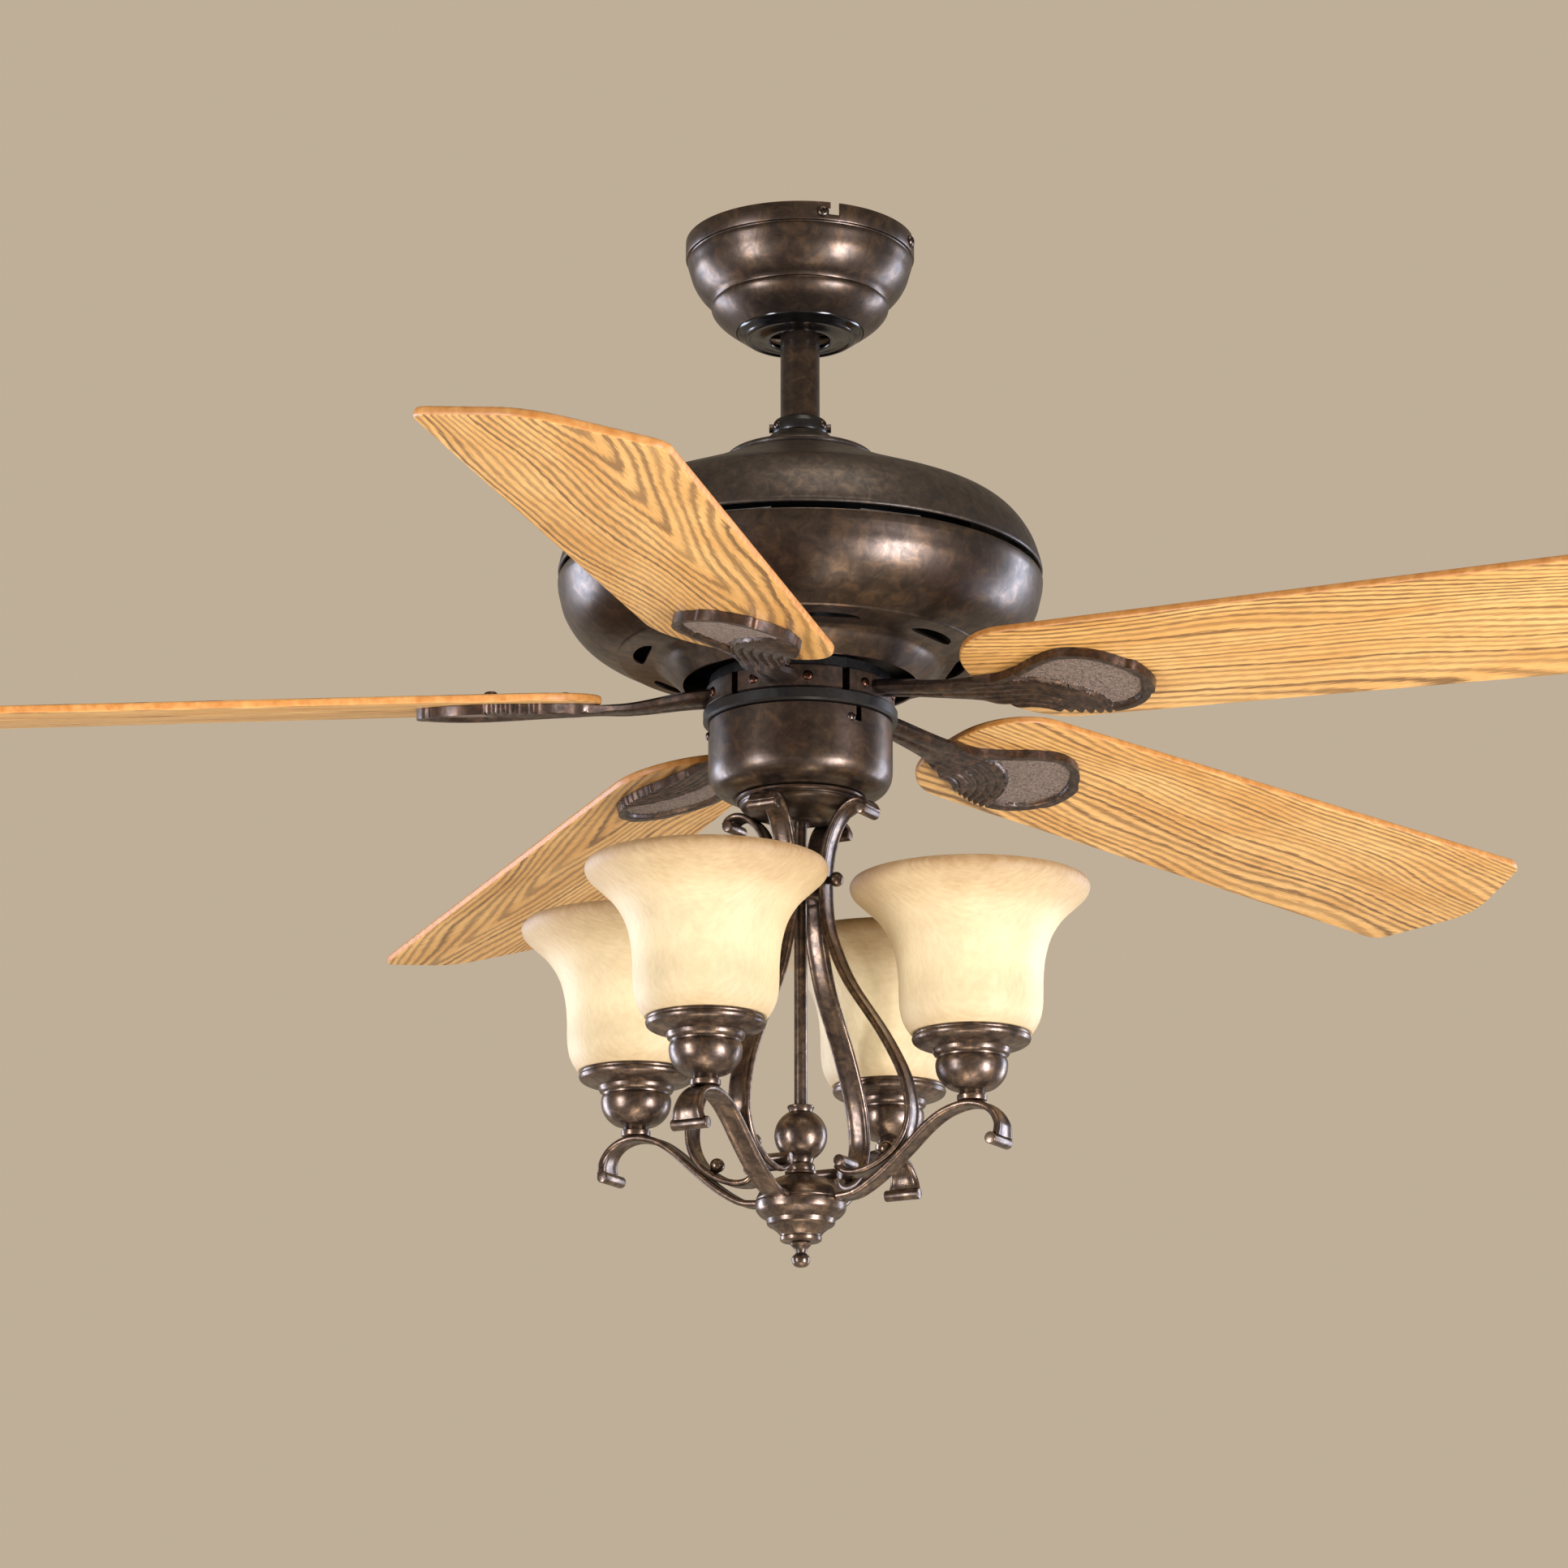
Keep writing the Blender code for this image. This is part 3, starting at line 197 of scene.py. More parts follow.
def rubbed_bronze(name, dark, brown, copper, rough_low, rough_high, patch_mm, worn):
    """Oil-rubbed bronze: lacquered steel with a dark glaze wiped by hand, so coppery brown shows
    through in soft patches and along worn edges, under a satin clear coat."""
    made, tree, shader = finish(name, Metallic=0.86, Roughness=0.36)
    spot = object_spot(tree)
    patches = noise(tree, spot, 1000 / patch_mm, 4.0, 0.62, 0.6)
    speckle = noise(tree, spot, 1000 / 1.8, 3.0, 0.7)
    grain = add(tree, "Mix", {"data_type": "FLOAT"}, {
        0: 0.34, 2: between(tree, patches, 0.36, 0.66), 3: speckle}).outputs[0]
    body = ramp(tree, grain, (0.12, linear(dark)), (0.55, linear(brown)), (0.88, linear(copper)))
    edge = add(tree, "NewGeometry").outputs["Pointiness"]
    wear = between(tree, edge, 0.54, 0.66, 0.0, worn)
    tree.links.new(mixed(tree, wear, body, linear("#94664a")), shader.inputs["Base Color"])
    gloss = between(tree, grain, 0.2, 0.8, rough_high, rough_low)
    tree.links.new(gloss, shader.inputs["Roughness"])
    bump(tree, shader, speckle, 0.10, 0.0004)
    shader.inputs["Coat Weight"].default_value = 0.18
    shader.inputs["Coat Roughness"].default_value = 0.22
    return made


# Spun sheet steel, lacquered: soft broad highlights with brown patches about 10 mm across.
bronze_sheet = rubbed_bronze("oil_rubbed_bronze_sheet", "#362d27", "#4d4036", "#655140",
                             0.31, 0.37, 10.0, worn=0.35)
# The dome lies upwards and keeps more of its dull glaze.
bronze_dome = rubbed_bronze("oil_rubbed_bronze_matt", "#3b3531", "#4b423b", "#5a4d43",
                            0.46, 0.54, 7.0, worn=0.2)
# Cast and forged pieces, where the glaze gathers in hollows and rubs off the ridges.
bronze_cast = rubbed_bronze("oil_rubbed_bronze_casting", "#3b312b", "#5f4f43", "#806a56",
                            0.27, 0.35, 7.0, worn=0.45)
# The blade irons are cast in sand and show the same glaze without rubbed ridges.
bronze_iron = rubbed_bronze("oil_rubbed_bronze_iron", "#2f2823", "#4d3f37", "#6b5344",
                            0.30, 0.44, 7.0, worn=0.0)


def sand_textured_bronze():
    """Bare pebbled casting face left between the rims, grey brown and dull: 1.3 mm grains."""
    made, tree, shader = finish("sand_textured_casting", Metallic=0.55, Roughness=0.62)
    spot = object_spot(tree)
    grains = add(tree, "TexVoronoi", sockets={"Vector": spot, "Scale": 1000 / 1.3})
    cloud = noise(tree, spot, 1000 / 2.5, 3.0, 0.7)
    pebbles = figure(tree, "MULTIPLY_ADD", grains.outputs["Distance"], 0.6, cloud)
    tone = ramp(tree, pebbles, (0.45, linear("#3b332f")), (0.95, linear("#8b7b70")))
    tree.links.new(tone, shader.inputs["Base Color"])
    bump(tree, shader, pebbles, 0.7, 0.0006)
    return made


bronze_sand = sand_textured_bronze()


def speckled(name, low, high, metallic, roughness, size_mm, relief=0.05):
    """A plain finish with the small unevenness every real coating has."""
    made, tree, shader = finish(name, Metallic=metallic, Roughness=roughness)
    cloud = noise(tree, object_spot(tree), 1000 / size_mm, 4.0, 0.6)
    tone = ramp(tree, cloud, (0.3, linear(low)), (0.7, linear(high)))
    tree.links.new(tone, shader.inputs["Base Color"])
    gloss = between(tree, cloud, 0.3, 0.7, roughness - 0.06, roughness + 0.06)
    tree.links.new(gloss, shader.inputs["Roughness"])
    bump(tree, shader, cloud, relief, 0.0003)
    return made


# Black powder coat on the collar, flywheel and switch plate.
black_coat = speckled("black_powder_coat", "#0b0a0a", "#171514", 0.0, 0.34, 1.2)
# Dark plated screws with a coppery sheen on their heads.
screw_plate = speckled("antique_copper_plate", "#33241d", "#5f4032", 1.0, 0.34, 2.0)
dark_screw = speckled("blackened_steel_screw", "#38322e", "#6d6058", 1.0, 0.3, 2.0)
zinc = speckled("zinc_plated_steel", "#8f9193", "#b4b6b8", 1.0, 0.36, 6.0)
# Enamelled copper wire on a laminated core.
winding = speckled("varnished_winding", "#5b2b16", "#93502b", 0.6, 0.42, 3.0)
gloss_black = speckled("gloss_black_moulding", "#040404", "#0a0909", 0.0, 0.16, 9.0, relief=0.02)
black_plastic = speckled("moulded_black_plastic", "#0d0d0d", "#1b1a1a", 0.0, 0.42, 2.5)
fibre = speckled("fibre_washer", "#7d2c22", "#9c4334", 0.0, 0.7, 1.5)


def oak_veneer():
    """Flat-sawn oak print on the blade: nested pointed arches that run out into straight lines,
    about 9 mm apart and closer towards the board's edges, broken up by 0.6 mm pore ticks along
    the grain, under satin lacquer."""
    made, tree, shader = finish("golden_oak_veneer", Roughness=0.42, Coat_Weight=0.15)
    shader.inputs["Coat Roughness"].default_value = 0.3
    grain = add(tree, "UVMap", {"uv_map": "grain"}).outputs["UV"]
    parts = add(tree, "SeparateXYZ", sockets={"Vector": grain})

    def stretched(lengthwise, crosswise, detail, rough=0.55):
        """Noise pulled out along the grain, one feature per length and width in metres."""
        laid = add(tree, "Mapping", sockets={
            "Vector": grain, "Scale": (1 / lengthwise, 1 / crosswise, 1.0)})
        return noise(tree, laid.outputs["Vector"], 1.0, detail, rough)

    drift = stretched(0.26, 0.075, 1.0)
    side = figure(tree, "MULTIPLY_ADD", drift, 0.046,
                  figure(tree, "SUBTRACT", parts.outputs["Y"], 0.023))
    arch = figure(tree, "SQRT", figure(tree, "MULTIPLY_ADD", side, side, 0.00003))
    spread = figure(tree, "MULTIPLY_ADD", figure(tree, "MULTIPLY", arch, arch), 3.2, arch)
    rise = figure(tree, "MULTIPLY_ADD", parts.outputs["X"], 0.135, spread)
    frayed = figure(tree, "MULTIPLY_ADD", stretched(0.016, 0.0013, 2.0), 0.0075, rise)
    ring = figure(tree, "MULTIPLY", frayed, 1 / 0.0092)
    band = ramp(tree, figure(tree, "FRACT", ring), (0.0, grey(0.70)), (0.12, grey(0.16)),
                (0.36, grey(0.05)), (0.56, grey(0.34)), (0.72, grey(0.95)), (0.90, grey(1.0)),
                (1.0, grey(0.70)))
    # Rings differ: some dark and broad, some hardly there.
    strength = add(tree, "TexWhiteNoise", {"noise_dimensions": "1D"}, {
        "W": figure(tree, "FLOOR", ring)}).outputs["Value"]
    depth = figure(tree, "MULTIPLY", band, figure(tree, "MULTIPLY_ADD", strength, 0.45, 0.52))
    ground = ramp(tree, stretched(0.12, 0.03, 2.0), (0.35, linear("#c8944e")),
                  (0.68, linear("#dcae6a")))
    lined = mixed(tree, depth, ground, linear("#5a3c1b"))
    ticks = between(tree, stretched(0.010, 0.0006, 1.0, 0.6), 0.52, 0.70, 0.0, 0.42)
    tree.links.new(mixed(tree, ticks, lined, linear("#7d5326")), shader.inputs["Base Color"])
    bump(tree, shader, ticks, 0.2, 0.0002, invert=True)
    return made


oak = oak_veneer()
# Routed and sealed rim of the blade, an orange brown band.
oak_edge = speckled("sealed_oak_edge", "#ab6c2c", "#c78f4e", 0.0, 0.46, 7.0)


GLASS_FOOT = -0.568
GLASS_RIM = -0.470


def tea_stained_glass():
    """Blown bell, sand-blasted and tea-stained, with fine slanting brush strokes of staining. Its
    colour is tan at the rim and foot and cream level with the bulb: partly the glass's staining,
    partly painted lamp light and painted shade away from it. Lit from inside."""
    made, tree, shader = finish("tea_stained_frosted_glass", Roughness=0.64, IOR=1.5)
    shader.inputs["Transmission Weight"].default_value = 0.08
    spot = object_spot(tree)
    slant = add(tree, "Mapping", sockets={
        "Vector": spot, "Rotation": (0.5, 0.65, 0.4), "Scale": (150.0, 640.0, 150.0)})
    strokes = noise(tree, slant.outputs["Vector"], 1.0, 3.0, 0.65)
    cloud = noise(tree, spot, 1000 / 26, 3.0, 0.55)
    height = add(tree, "SeparateXYZ", sockets={"Vector": spot}).outputs["Z"]
    rise = between(tree, height, GLASS_FOOT, GLASS_RIM)
    # Base colour by height: lightest level with the bulb and darker towards the rim and foot,
    # partly the glass's staining, partly painted lamp light and shade.
    stain_and_painted_lamp_light = ramp(tree, rise, (0.0, grey(0.50)), (0.14, grey(0.22)), (0.42, grey(0.06)),
                 (0.70, grey(0.26)), (0.90, grey(0.58)), (1.0, grey(0.86)), ease=True)
    blotch = figure(tree, "MULTIPLY_ADD", cloud, 0.36, -0.18)
    streak = figure(tree, "MULTIPLY_ADD", strokes, 0.56, -0.28)
    total = figure(tree, "ADD", stain_and_painted_lamp_light, figure(tree, "ADD", blotch, streak), clamp=True)
    tone = mixed(tree, total, linear("#c8b78f"), linear("#8c6b40"))
    tree.links.new(tone, shader.inputs["Base Color"])
    # The lamp's light scattered in the frosted wall, strongest level with the bulb.
    glow = ramp(tree, rise, (0.0, grey(0.40)), (0.40, grey(1.0)), (0.72, grey(0.55)),
                (1.0, grey(0.22)), ease=True)
    warm = mixed(tree, total, linear("#ffeabc"), linear("#cf9f5c"))
    lit = mixed(tree, 1.0, warm, glow, "MULTIPLY")
    tree.links.new(lit, shader.inputs["Emission Color"])
    shader.inputs["Emission Strength"].default_value = 0.15
    bump(tree, shader, strokes, 0.10, 0.0003)
    return made


shade_glass = tea_stained_glass()


BULB_NECK = -0.541
BULB_SHOULDER = -0.515


def lit_bulb():
    """Soft white lamp, switched on; warmer and dimmer towards its neck."""
    made, tree, shader = finish("soft_white_lamp", Roughness=0.35)
    shader.inputs["Base Color"].default_value = linear("#fff4dc")
    height = add(tree, "SeparateXYZ", sockets={"Vector": object_spot(tree)}).outputs["Z"]
    rise = between(tree, height, BULB_NECK, BULB_SHOULDER)
    warm = ramp(tree, rise, (0.0, linear("#d9b07a")), (1.0, linear("#fff0cf")))
    tree.links.new(warm, shader.inputs["Emission Color"])
    shader.inputs["Emission Strength"].default_value = 1.0
    return made


lamp_glow = lit_bulb()

for node, looks in {
    "hanger_bracket": zinc, "hanger_ball": black_plastic, "hanger_ball_pin": zinc,
    "coupling_bolt": dark_screw, "motor_shaft": zinc, "stator": winding, "rotor_can": black_coat,
    "flywheel": black_coat, "reverse_switch": black_plastic,
}.items():
    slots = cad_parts[node].data.materials
    slots.clear()
    slots.append(looks)

pale = speckled("studio_paper", "#cfc6ba", "#d6cdc1", 0.0, 0.9, 400.0, relief=0.0)
paper_shader = pale.node_tree.nodes["Principled BSDF"]
paper_shader.inputs["Emission Color"].default_value = linear("#cdc3b5")
paper_shader.inputs["Emission Strength"].default_value = 0.55
floor.data.materials.append(pale)

# ---------------------------------------------------------------- modelling steps


def begin(name):
    piece = bpy.context.object
    piece.name = name
    piece.data.name = name
    bpy.ops.object.transform_apply(location=True, rotation=True, scale=True)
    return piece


def settle(piece, angle=35):
    """Closes doubled points, turns faces outwards and shades the piece."""
    bpy.ops.object.select_all(action="DESELECT")
    piece.select_set(True)
    bpy.context.view_layer.objects.active = piece
    bpy.ops.object.mode_set(mode="EDIT")
    bpy.ops.mesh.select_all(action="SELECT")
    bpy.ops.mesh.remove_doubles(threshold=DOUBLED)
    bpy.ops.mesh.normals_make_consistent(inside=False)
    bpy.ops.object.mode_set(mode="OBJECT")
    bpy.ops.object.shade_smooth_by_angle(angle=math.radians(angle))
    return piece


def drawn(name, spots):
    """Draws a line through the spots point by point, and leaves it selected in edit mode."""
    bpy.ops.object.select_all(action="DESELECT")
    bpy.ops.mesh.primitive_plane_add(size=MM, location=spots[0])
    piece = begin(name)
    bpy.ops.object.mode_set(mode="EDIT")
    bpy.ops.mesh.merge(type="CENTER")
    for here, there in zip(spots, spots[1:]):
        bpy.ops.mesh.extrude_vertices_move(TRANSFORM_OT_translate={"value": there - here})
    bpy.ops.mesh.select_all(action="SELECT")
    return piece


def spun(name, section, around=96, angle=360.0, start=0.0):
    """Draws a half section and spins it round the upright axis."""
    turn = math.radians(start)
    out = Vector((math.cos(turn), math.sin(turn), 0.0))
    piece = drawn(name, [(out * r + Vector((0, 0, z))) * MM for r, z in section])
    if angle < 360.0:
        bpy.ops.mesh.remove_doubles(threshold=DOUBLED)
        bpy.ops.mesh.edge_face_add()
    bpy.ops.mesh.spin(steps=around, angle=math.radians(angle), center=(0, 0, 0), axis=(0, 0, 1))
    bpy.ops.object.mode_set(mode="OBJECT")
    return settle(piece)


def sheet(name, line, wall, around):
    """Spins a thin wall: the line, then its other side back to the start."""
    return spun(name, line + offset(line, wall)[::-1] + [line[0]], around)


def flow(points, steps=4):
    """A smooth line through the points."""
    ends = [points[0], *points, points[-1]]
    line = []
    for a, b, c, d in zip(ends, ends[1:], ends[2:], ends[3:]):
        a, b, c, d = Vector(a), Vector(b), Vector(c), Vector(d)
        for k in range(steps):
            t = k / steps
            line.append(
                0.5 * (2 * b + (c - a) * t + (2 * a - 5 * b + 4 * c - d) * t**2
                       + (3 * b - a - 3 * c + d) * t**3)
            )
    line.append(Vector(points[-1]))
    return [tuple(spot) for spot in line]


def offset(line, wall):
    """The same line moved sideways by a wall's thickness."""
    moved = []
    for index, spot in enumerate(line):
        before = Vector(line[max(index - 1, 0)])
        after = Vector(line[min(index + 1, len(line) - 1)])
        way = (after - before).normalized()
        moved.append((spot[0] + way.y * wall, spot[1] - way.x * wall))
    return moved


def cut(piece, cutter, operation="DIFFERENCE"):
    """Cuts one shape from a piece, or adds it, and keeps the result. Where the exact solver
    loses most of the piece, the manifold one is used."""
    whole = piece.data.copy()
    bpy.ops.object.select_all(action="DESELECT")
    bpy.context.view_layer.objects.active = piece
    for solver in ("EXACT", "MANIFOLD"):
        step = piece.modifiers.new("cut", "BOOLEAN")
        step.operation = operation
        step.solver = solver
        step.object = cutter
        bpy.ops.object.modifier_apply(modifier=step.name)
        if len(piece.data.vertices) > len(whole.vertices) // 2:
            break
        piece.data = whole.copy()
    bpy.data.objects.remove(cutter, do_unlink=True)
    return piece


def join(name, parts):
    """Makes one piece of several that belong together."""
    bpy.ops.object.select_all(action="DESELECT")
    for part in parts:
        part.select_set(True)
    bpy.context.view_layer.objects.active = parts[0]
    bpy.ops.object.join()
    parts[0].name = name
    return parts[0]


def block(name, low, high, bevel=0.0):
    """A box between two corners, with softened edges."""
    bpy.ops.object.select_all(action="DESELECT")
    low = Vector(low) * MM
    high = Vector(high) * MM
    bpy.ops.mesh.primitive_cube_add(size=1.0, location=(low + high) / 2)
    bpy.context.object.scale = high - low
    piece = begin(name)
    if bevel:
        bpy.ops.object.mode_set(mode="EDIT")
        bpy.ops.mesh.select_all(action="SELECT")
        bpy.ops.mesh.bevel(offset=bevel * MM, segments=2, affect="EDGES")
        bpy.ops.object.mode_set(mode="OBJECT")
    return piece


def place(piece, matrix):
    """Moves a finished mesh, given in millimetres."""
    piece.data.transform(Matrix.Scale(MM, 4) @ matrix @ Matrix.Scale(1 / MM, 4))
    piece.data.update()
    return piece


def copy(piece, name, matrix):
    """A copy with its own mesh, moved to its own place."""
    bpy.ops.object.select_all(action="DESELECT")
    piece.select_set(True)
    bpy.context.view_layer.objects.active = piece
    bpy.ops.object.duplicate(linked=False)
    made = bpy.context.object
    made.name = name
    made.data.name = name
    return place(made, matrix)


def hand_over(piece, body, looks, stands_for=()):
    """Gives a piece its finish, its body and the CAD nodes it stands for."""
    if not any(piece.data.materials):
        piece.data.materials.clear()
        piece.data.materials.append(looks)
    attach(piece, body)
    if stands_for:
        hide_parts(*stands_for)
    return piece


def turned_about(azimuth):
    return Matrix.Rotation(math.radians(azimuth), 4, "Z")


def facing_out(azimuth, radius, height):
    """Turns a piece's +Z outwards and sets its seat on a round wall."""
    return (turned_about(azimuth) @ Matrix.Translation((radius, 0, height))
            @ Matrix.Rotation(math.pi / 2, 4, "Y"))


def keyways(piece, azimuths, boxes):
    """Cuts the same screw notch, made of boxes, at each azimuth."""
    for azimuth in azimuths:
        for low, high in boxes:
            cut(piece, place(block("keyway", low, high), turned_about(azimuth)))


def screw(name, radius, height):
    """A pan-head screw with a cross recess, its head towards +Z and its seat at zero."""
    dome = [(0.0, height), (radius * 0.45, height * 0.95), (radius * 0.8, height * 0.68),
            (radius, height * 0.22)]
    shank = [(radius, 0.0), (radius * 0.5, 0.0), (radius * 0.5, -3.0), (0.0, -3.0)]
    piece = spun(name, flow(dome, 3) + shank, 28)
    for turn in (25, 115):
        recess = block("recess", (-radius * 0.6, -radius * 0.11, height * 0.35),
                       (radius * 0.6, radius * 0.11, height + 2))
        cut(piece, place(recess, turned_about(turn)))
    return piece


# ---------------------------------------------------------------- canopy and hanging tube

CANOPY_RADIUS = 78.3
canopy_line = (
    [(78.2, -0.4), (78.3, -1.2), (78.3, -12.4), (77.9, -13.0), (76.3, -13.3), (75.9, -13.9),
     (76.3, -14.5)]
    + flow([(76.9, -14.9), (76.7, -17.0), (75.4, -21.5), (73.4, -28.0), (69.9, -34.5),
            (65.4, -40.0), (61.4, -43.6), (60.0, -45.2)], 4)
    + flow([(59.7, -45.8), (60.5, -46.8), (60.6, -48.6), (59.4, -51.6), (56.2, -55.6),
            (51.4, -59.9), (45.6, -64.2), (43.6, -65.6)], 4)
)
canopy = sheet("canopy_shell", canopy_line, 1.3, 128)
SCREW_AZIMUTHS = (-78.5, -16.5)
SCREW_DROP = 7.5
keyways(canopy, SCREW_AZIMUTHS + (101.5, 163.5),
        (((70, 5.2, -9.2), (86, 11.2, 2)), ((70, -2.2, -9.0), (86, 6.0, -4.6))))
settle(canopy)
hand_over(canopy, "ceiling_side", bronze_sheet, ["canopy"])

trim_line = flow([(43.2, -64.9), (42.4, -66.6), (39.6, -68.4)], 3) + flow(
    [(38.6, -69.0), (37.2, -70.3), (35.4, -70.9), (34.0, -70.2)], 3) + flow(
    [(32.4, -69.6), (28.6, -70.4), (24.0, -71.7), (21.4, -71.6), (20.6, -70.6), (20.6, -68.4)], 3)
trim = sheet("canopy_trim_ring", trim_line, 1.1, 96)
hand_over(trim, "ceiling_side", gloss_black)

head = screw("canopy_screw_head", 4.0, 2.6)
for number, azimuth in enumerate(SCREW_AZIMUTHS, 1):
    lay = facing_out(azimuth, CANOPY_RADIUS + 0.1, -SCREW_DROP)
    hand_over(copy(head, f"canopy_screw_head_{number}", lay), "ceiling_side", dark_screw,
              [f"canopy_screw_{number}"])

ROD_RADIUS = 13.35
ROD_BORE = 10.6
rod_line = [(ROD_RADIUS, z) for z in (-30.0, -31.0, -34.0, -90.0, -136.0, -138.4, -139.4)]
rod_line += [(ROD_BORE, -139.4), (ROD_BORE, -30.0), (ROD_RADIUS, -30.0)]
tube = spun("downrod_tube", rod_line, 64)
hand_over(tube, "hanging_frame", bronze_sheet, ["downrod"])

collar_line = flow([(13.6, -129.6), (16.4, -129.7), (17.6, -130.6), (18.0, -132.2)], 3) + [
    (18.4, -133.0)] + flow([(18.5, -134.0), (18.5, -138.0), (18.1, -139.5)], 2) + [(13.7, -139.5)]
collar = spun("yoke_collar_ring", collar_line + [collar_line[0]], 72)
hand_over(collar, "hanging_frame", black_coat, ["yoke_collar"])
for number, azimuth in enumerate((-32, 28, 90, 212), 1):
    lay = facing_out(azimuth, 18.1, -134.8) @ Matrix.Scale(0.8, 4)
    hand_over(copy(head, f"collar_screw_{number}", lay), "hanging_frame", dark_screw)

# ---------------------------------------------------------------- motor housing

cap_line = [(17.6, -140.8), (20.4, -140.9)] + flow(
    [(21.2, -141.6), (24.4, -144.6), (31.0, -148.2), (38.5, -151.2), (44.5, -153.6),
     (47.4, -154.8)], 4) + flow([(49.2, -155.5), (50.5, -156.8), (50.4, -158.4), (49.4, -159.9)], 3)
cap = sheet("motor_cap", cap_line, 1.5, 112)
hand_over(cap, "hanging_frame", bronze_dome, ["motor_top_cap"])

dome_line = [(28.5, -160.3), (51.0, -160.4)] + flow(
    [(52.0, -160.5), (63.6, -165.9), (83.1, -175.1), (106.8, -185.2), (130.4, -195.2),
     (141.8, -201.2), (150.3, -209.3), (157.4, -220.5), (161.4, -231.8), (162.7, -237.4)], 6
) + flow([(163.0, -238.2), (163.0, -239.6), (162.4, -240.4), (161.2, -240.5)], 2)
dome = sheet("motor_dome", dome_line, 1.5, 160)
hand_over(dome, "hanging_frame", bronze_dome, ["motor_housing_top"])

bowl_line = flow([(161.0, -245.2), (162.4, -245.0), (163.0, -245.8), (163.0, -247.6)], 2) + flow(
    [(162.7, -251.0), (161.4, -256.8), (158.9, -265.6), (153.2, -275.4), (145.9, -283.4),
     (136.9, -289.9), (127.4, -294.8), (123.2, -296.7)], 6) + flow(
    [(122.6, -297.6), (121.4, -298.1), (116.0, -299.0), (106.0, -300.4), (98.4, -301.4),
     (96.4, -302.2)], 3) + flow(
    [(95.4, -302.8), (93.4, -304.2), (89.9, -308.0), (84.8, -312.8), (80.4, -316.6)], 4) + [
    (78.6, -316.6)]
bowl = sheet("motor_bowl", bowl_line, 1.5, 160)


def outline_cutter(name, outline, low, high):
    """Draws a flat outline, fills it and pulls it up into a solid."""
    piece = drawn(name, [Vector((x, y, low)) * MM for x, y in outline])
    bpy.ops.mesh.edge_face_add()
    bpy.ops.mesh.extrude_region_move(
        TRANSFORM_OT_translate={"value": (0.0, 0.0, (high - low) * MM)})
    bpy.ops.mesh.select_all(action="SELECT")
    bpy.ops.mesh.normals_make_consistent(inside=False)
    bpy.ops.object.mode_set(mode="OBJECT")
    return piece


VENT_COUNT = 8
VENT_FIRST = 10
VENT_HALF = 12
VENT_MIDDLE = 106.3
VENT_OUTWARD = 6.4
VENT_INWARD = 3.4
crescent = []
for turn in range(-VENT_HALF, VENT_HALF + 1, 2):
    crescent.append((turn, VENT_OUTWARD * (1 - (turn / VENT_HALF) ** 2) ** 0.5))
for turn in range(VENT_HALF - 2, -VENT_HALF, -2):
    crescent.append((turn, -VENT_INWARD * (1 - (turn / VENT_HALF) ** 2) ** 0.5))
vents = []
for k in range(VENT_COUNT):
    ring = []
    for turn, off in crescent:
        angle = math.radians(turn + 360 / VENT_COUNT * k + VENT_FIRST)
        ring.append(((VENT_MIDDLE + off) * math.cos(angle), (VENT_MIDDLE + off) * math.sin(angle)))
    vents.append(outline_cutter("vent", ring, -312, -288))
cut(bowl, join("vents", vents))
settle(bowl)
hand_over(bowl, "hanging_frame", bronze_sheet, ["motor_housing_bottom"])
SEAM_TAB_FIRST = -68.3
for k in range(10):
    tab = block(f"seam_tab_{k + 1}", (156.0, -21, -249), (157.4, 21, -242.6), 0.4)
    place(tab, turned_about(36 * k + SEAM_TAB_FIRST))
    hand_over(tab, "hanging_frame", zinc)

# ---------------------------------------------------------------- switch housing and its cap

plate_line = [(8.4, -335.4), (64.0, -335.4), (65.0, -336.2), (65.0, -342.6), (63.6, -343.9),
              (8.4, -343.9), (8.4, -335.4)]
plate = spun("switch_plate_ring", plate_line, 96)
hand_over(plate, "hanging_frame", black_coat, ["switch_mount_plate"])

pot_line = [(60.9, -344.3), (61.5, -344.9), (61.5, -347.0), (61.5, -361.0), (61.5, -375.0)] + flow(
    [(61.3, -379.4), (60.4, -383.6), (57.6, -388.4), (53.0, -391.8), (47.6, -393.6)], 5) + flow(
    [(46.4, -394.2), (45.2, -394.9), (43.8, -394.9)], 2) + [(22.0, -394.9)]
pot = sheet("switch_pot", pot_line, 1.6, 128)
POT_SCREW_AZIMUTHS = (-57, 63, 183)
keyways(pot, POT_SCREW_AZIMUTHS,
        (((55, 4.0, -354.5), (68, 8.4, -343)), ((55, -1.6, -354.2), (68, 5, -350.6))))
cut(pot, block("switch_slot", (-2.8, 54, -370.9), (2.8, 68, -350.2)))
settle(pot)
hand_over(pot, "hanging_frame", bronze_sheet, ["switch_housing"])
for number, azimuth in enumerate(POT_SCREW_AZIMUTHS, 1):
    lay = facing_out(azimuth, 61.4, -352.4) @ Matrix.Scale(0.72, 4)
    hand_over(copy(head, f"switch_screw_{number}", lay), "hanging_frame", dark_screw)

kit_cap_line = [(4.6, -395.4), (42.4, -395.4), (43.0, -396.0), (43.0, -397.4), (42.2, -398.2),
                (40.6, -398.4), (40.2, -399.2)] + flow(
    [(40.4, -400.0), (39.0, -402.0), (34.0, -405.2), (27.0, -407.8), (20.0, -409.4),
     (15.0, -410.4), (12.0, -412.0)], 4) + [(4.6, -412.0), (4.6, -395.4)]
kit_cap = spun("kit_cap_turning", kit_cap_line, 96)
hand_over(kit_cap, "hanging_frame", bronze_sheet, ["light_kit_cap"])

# ---------------------------------------------------------------- light kit spine

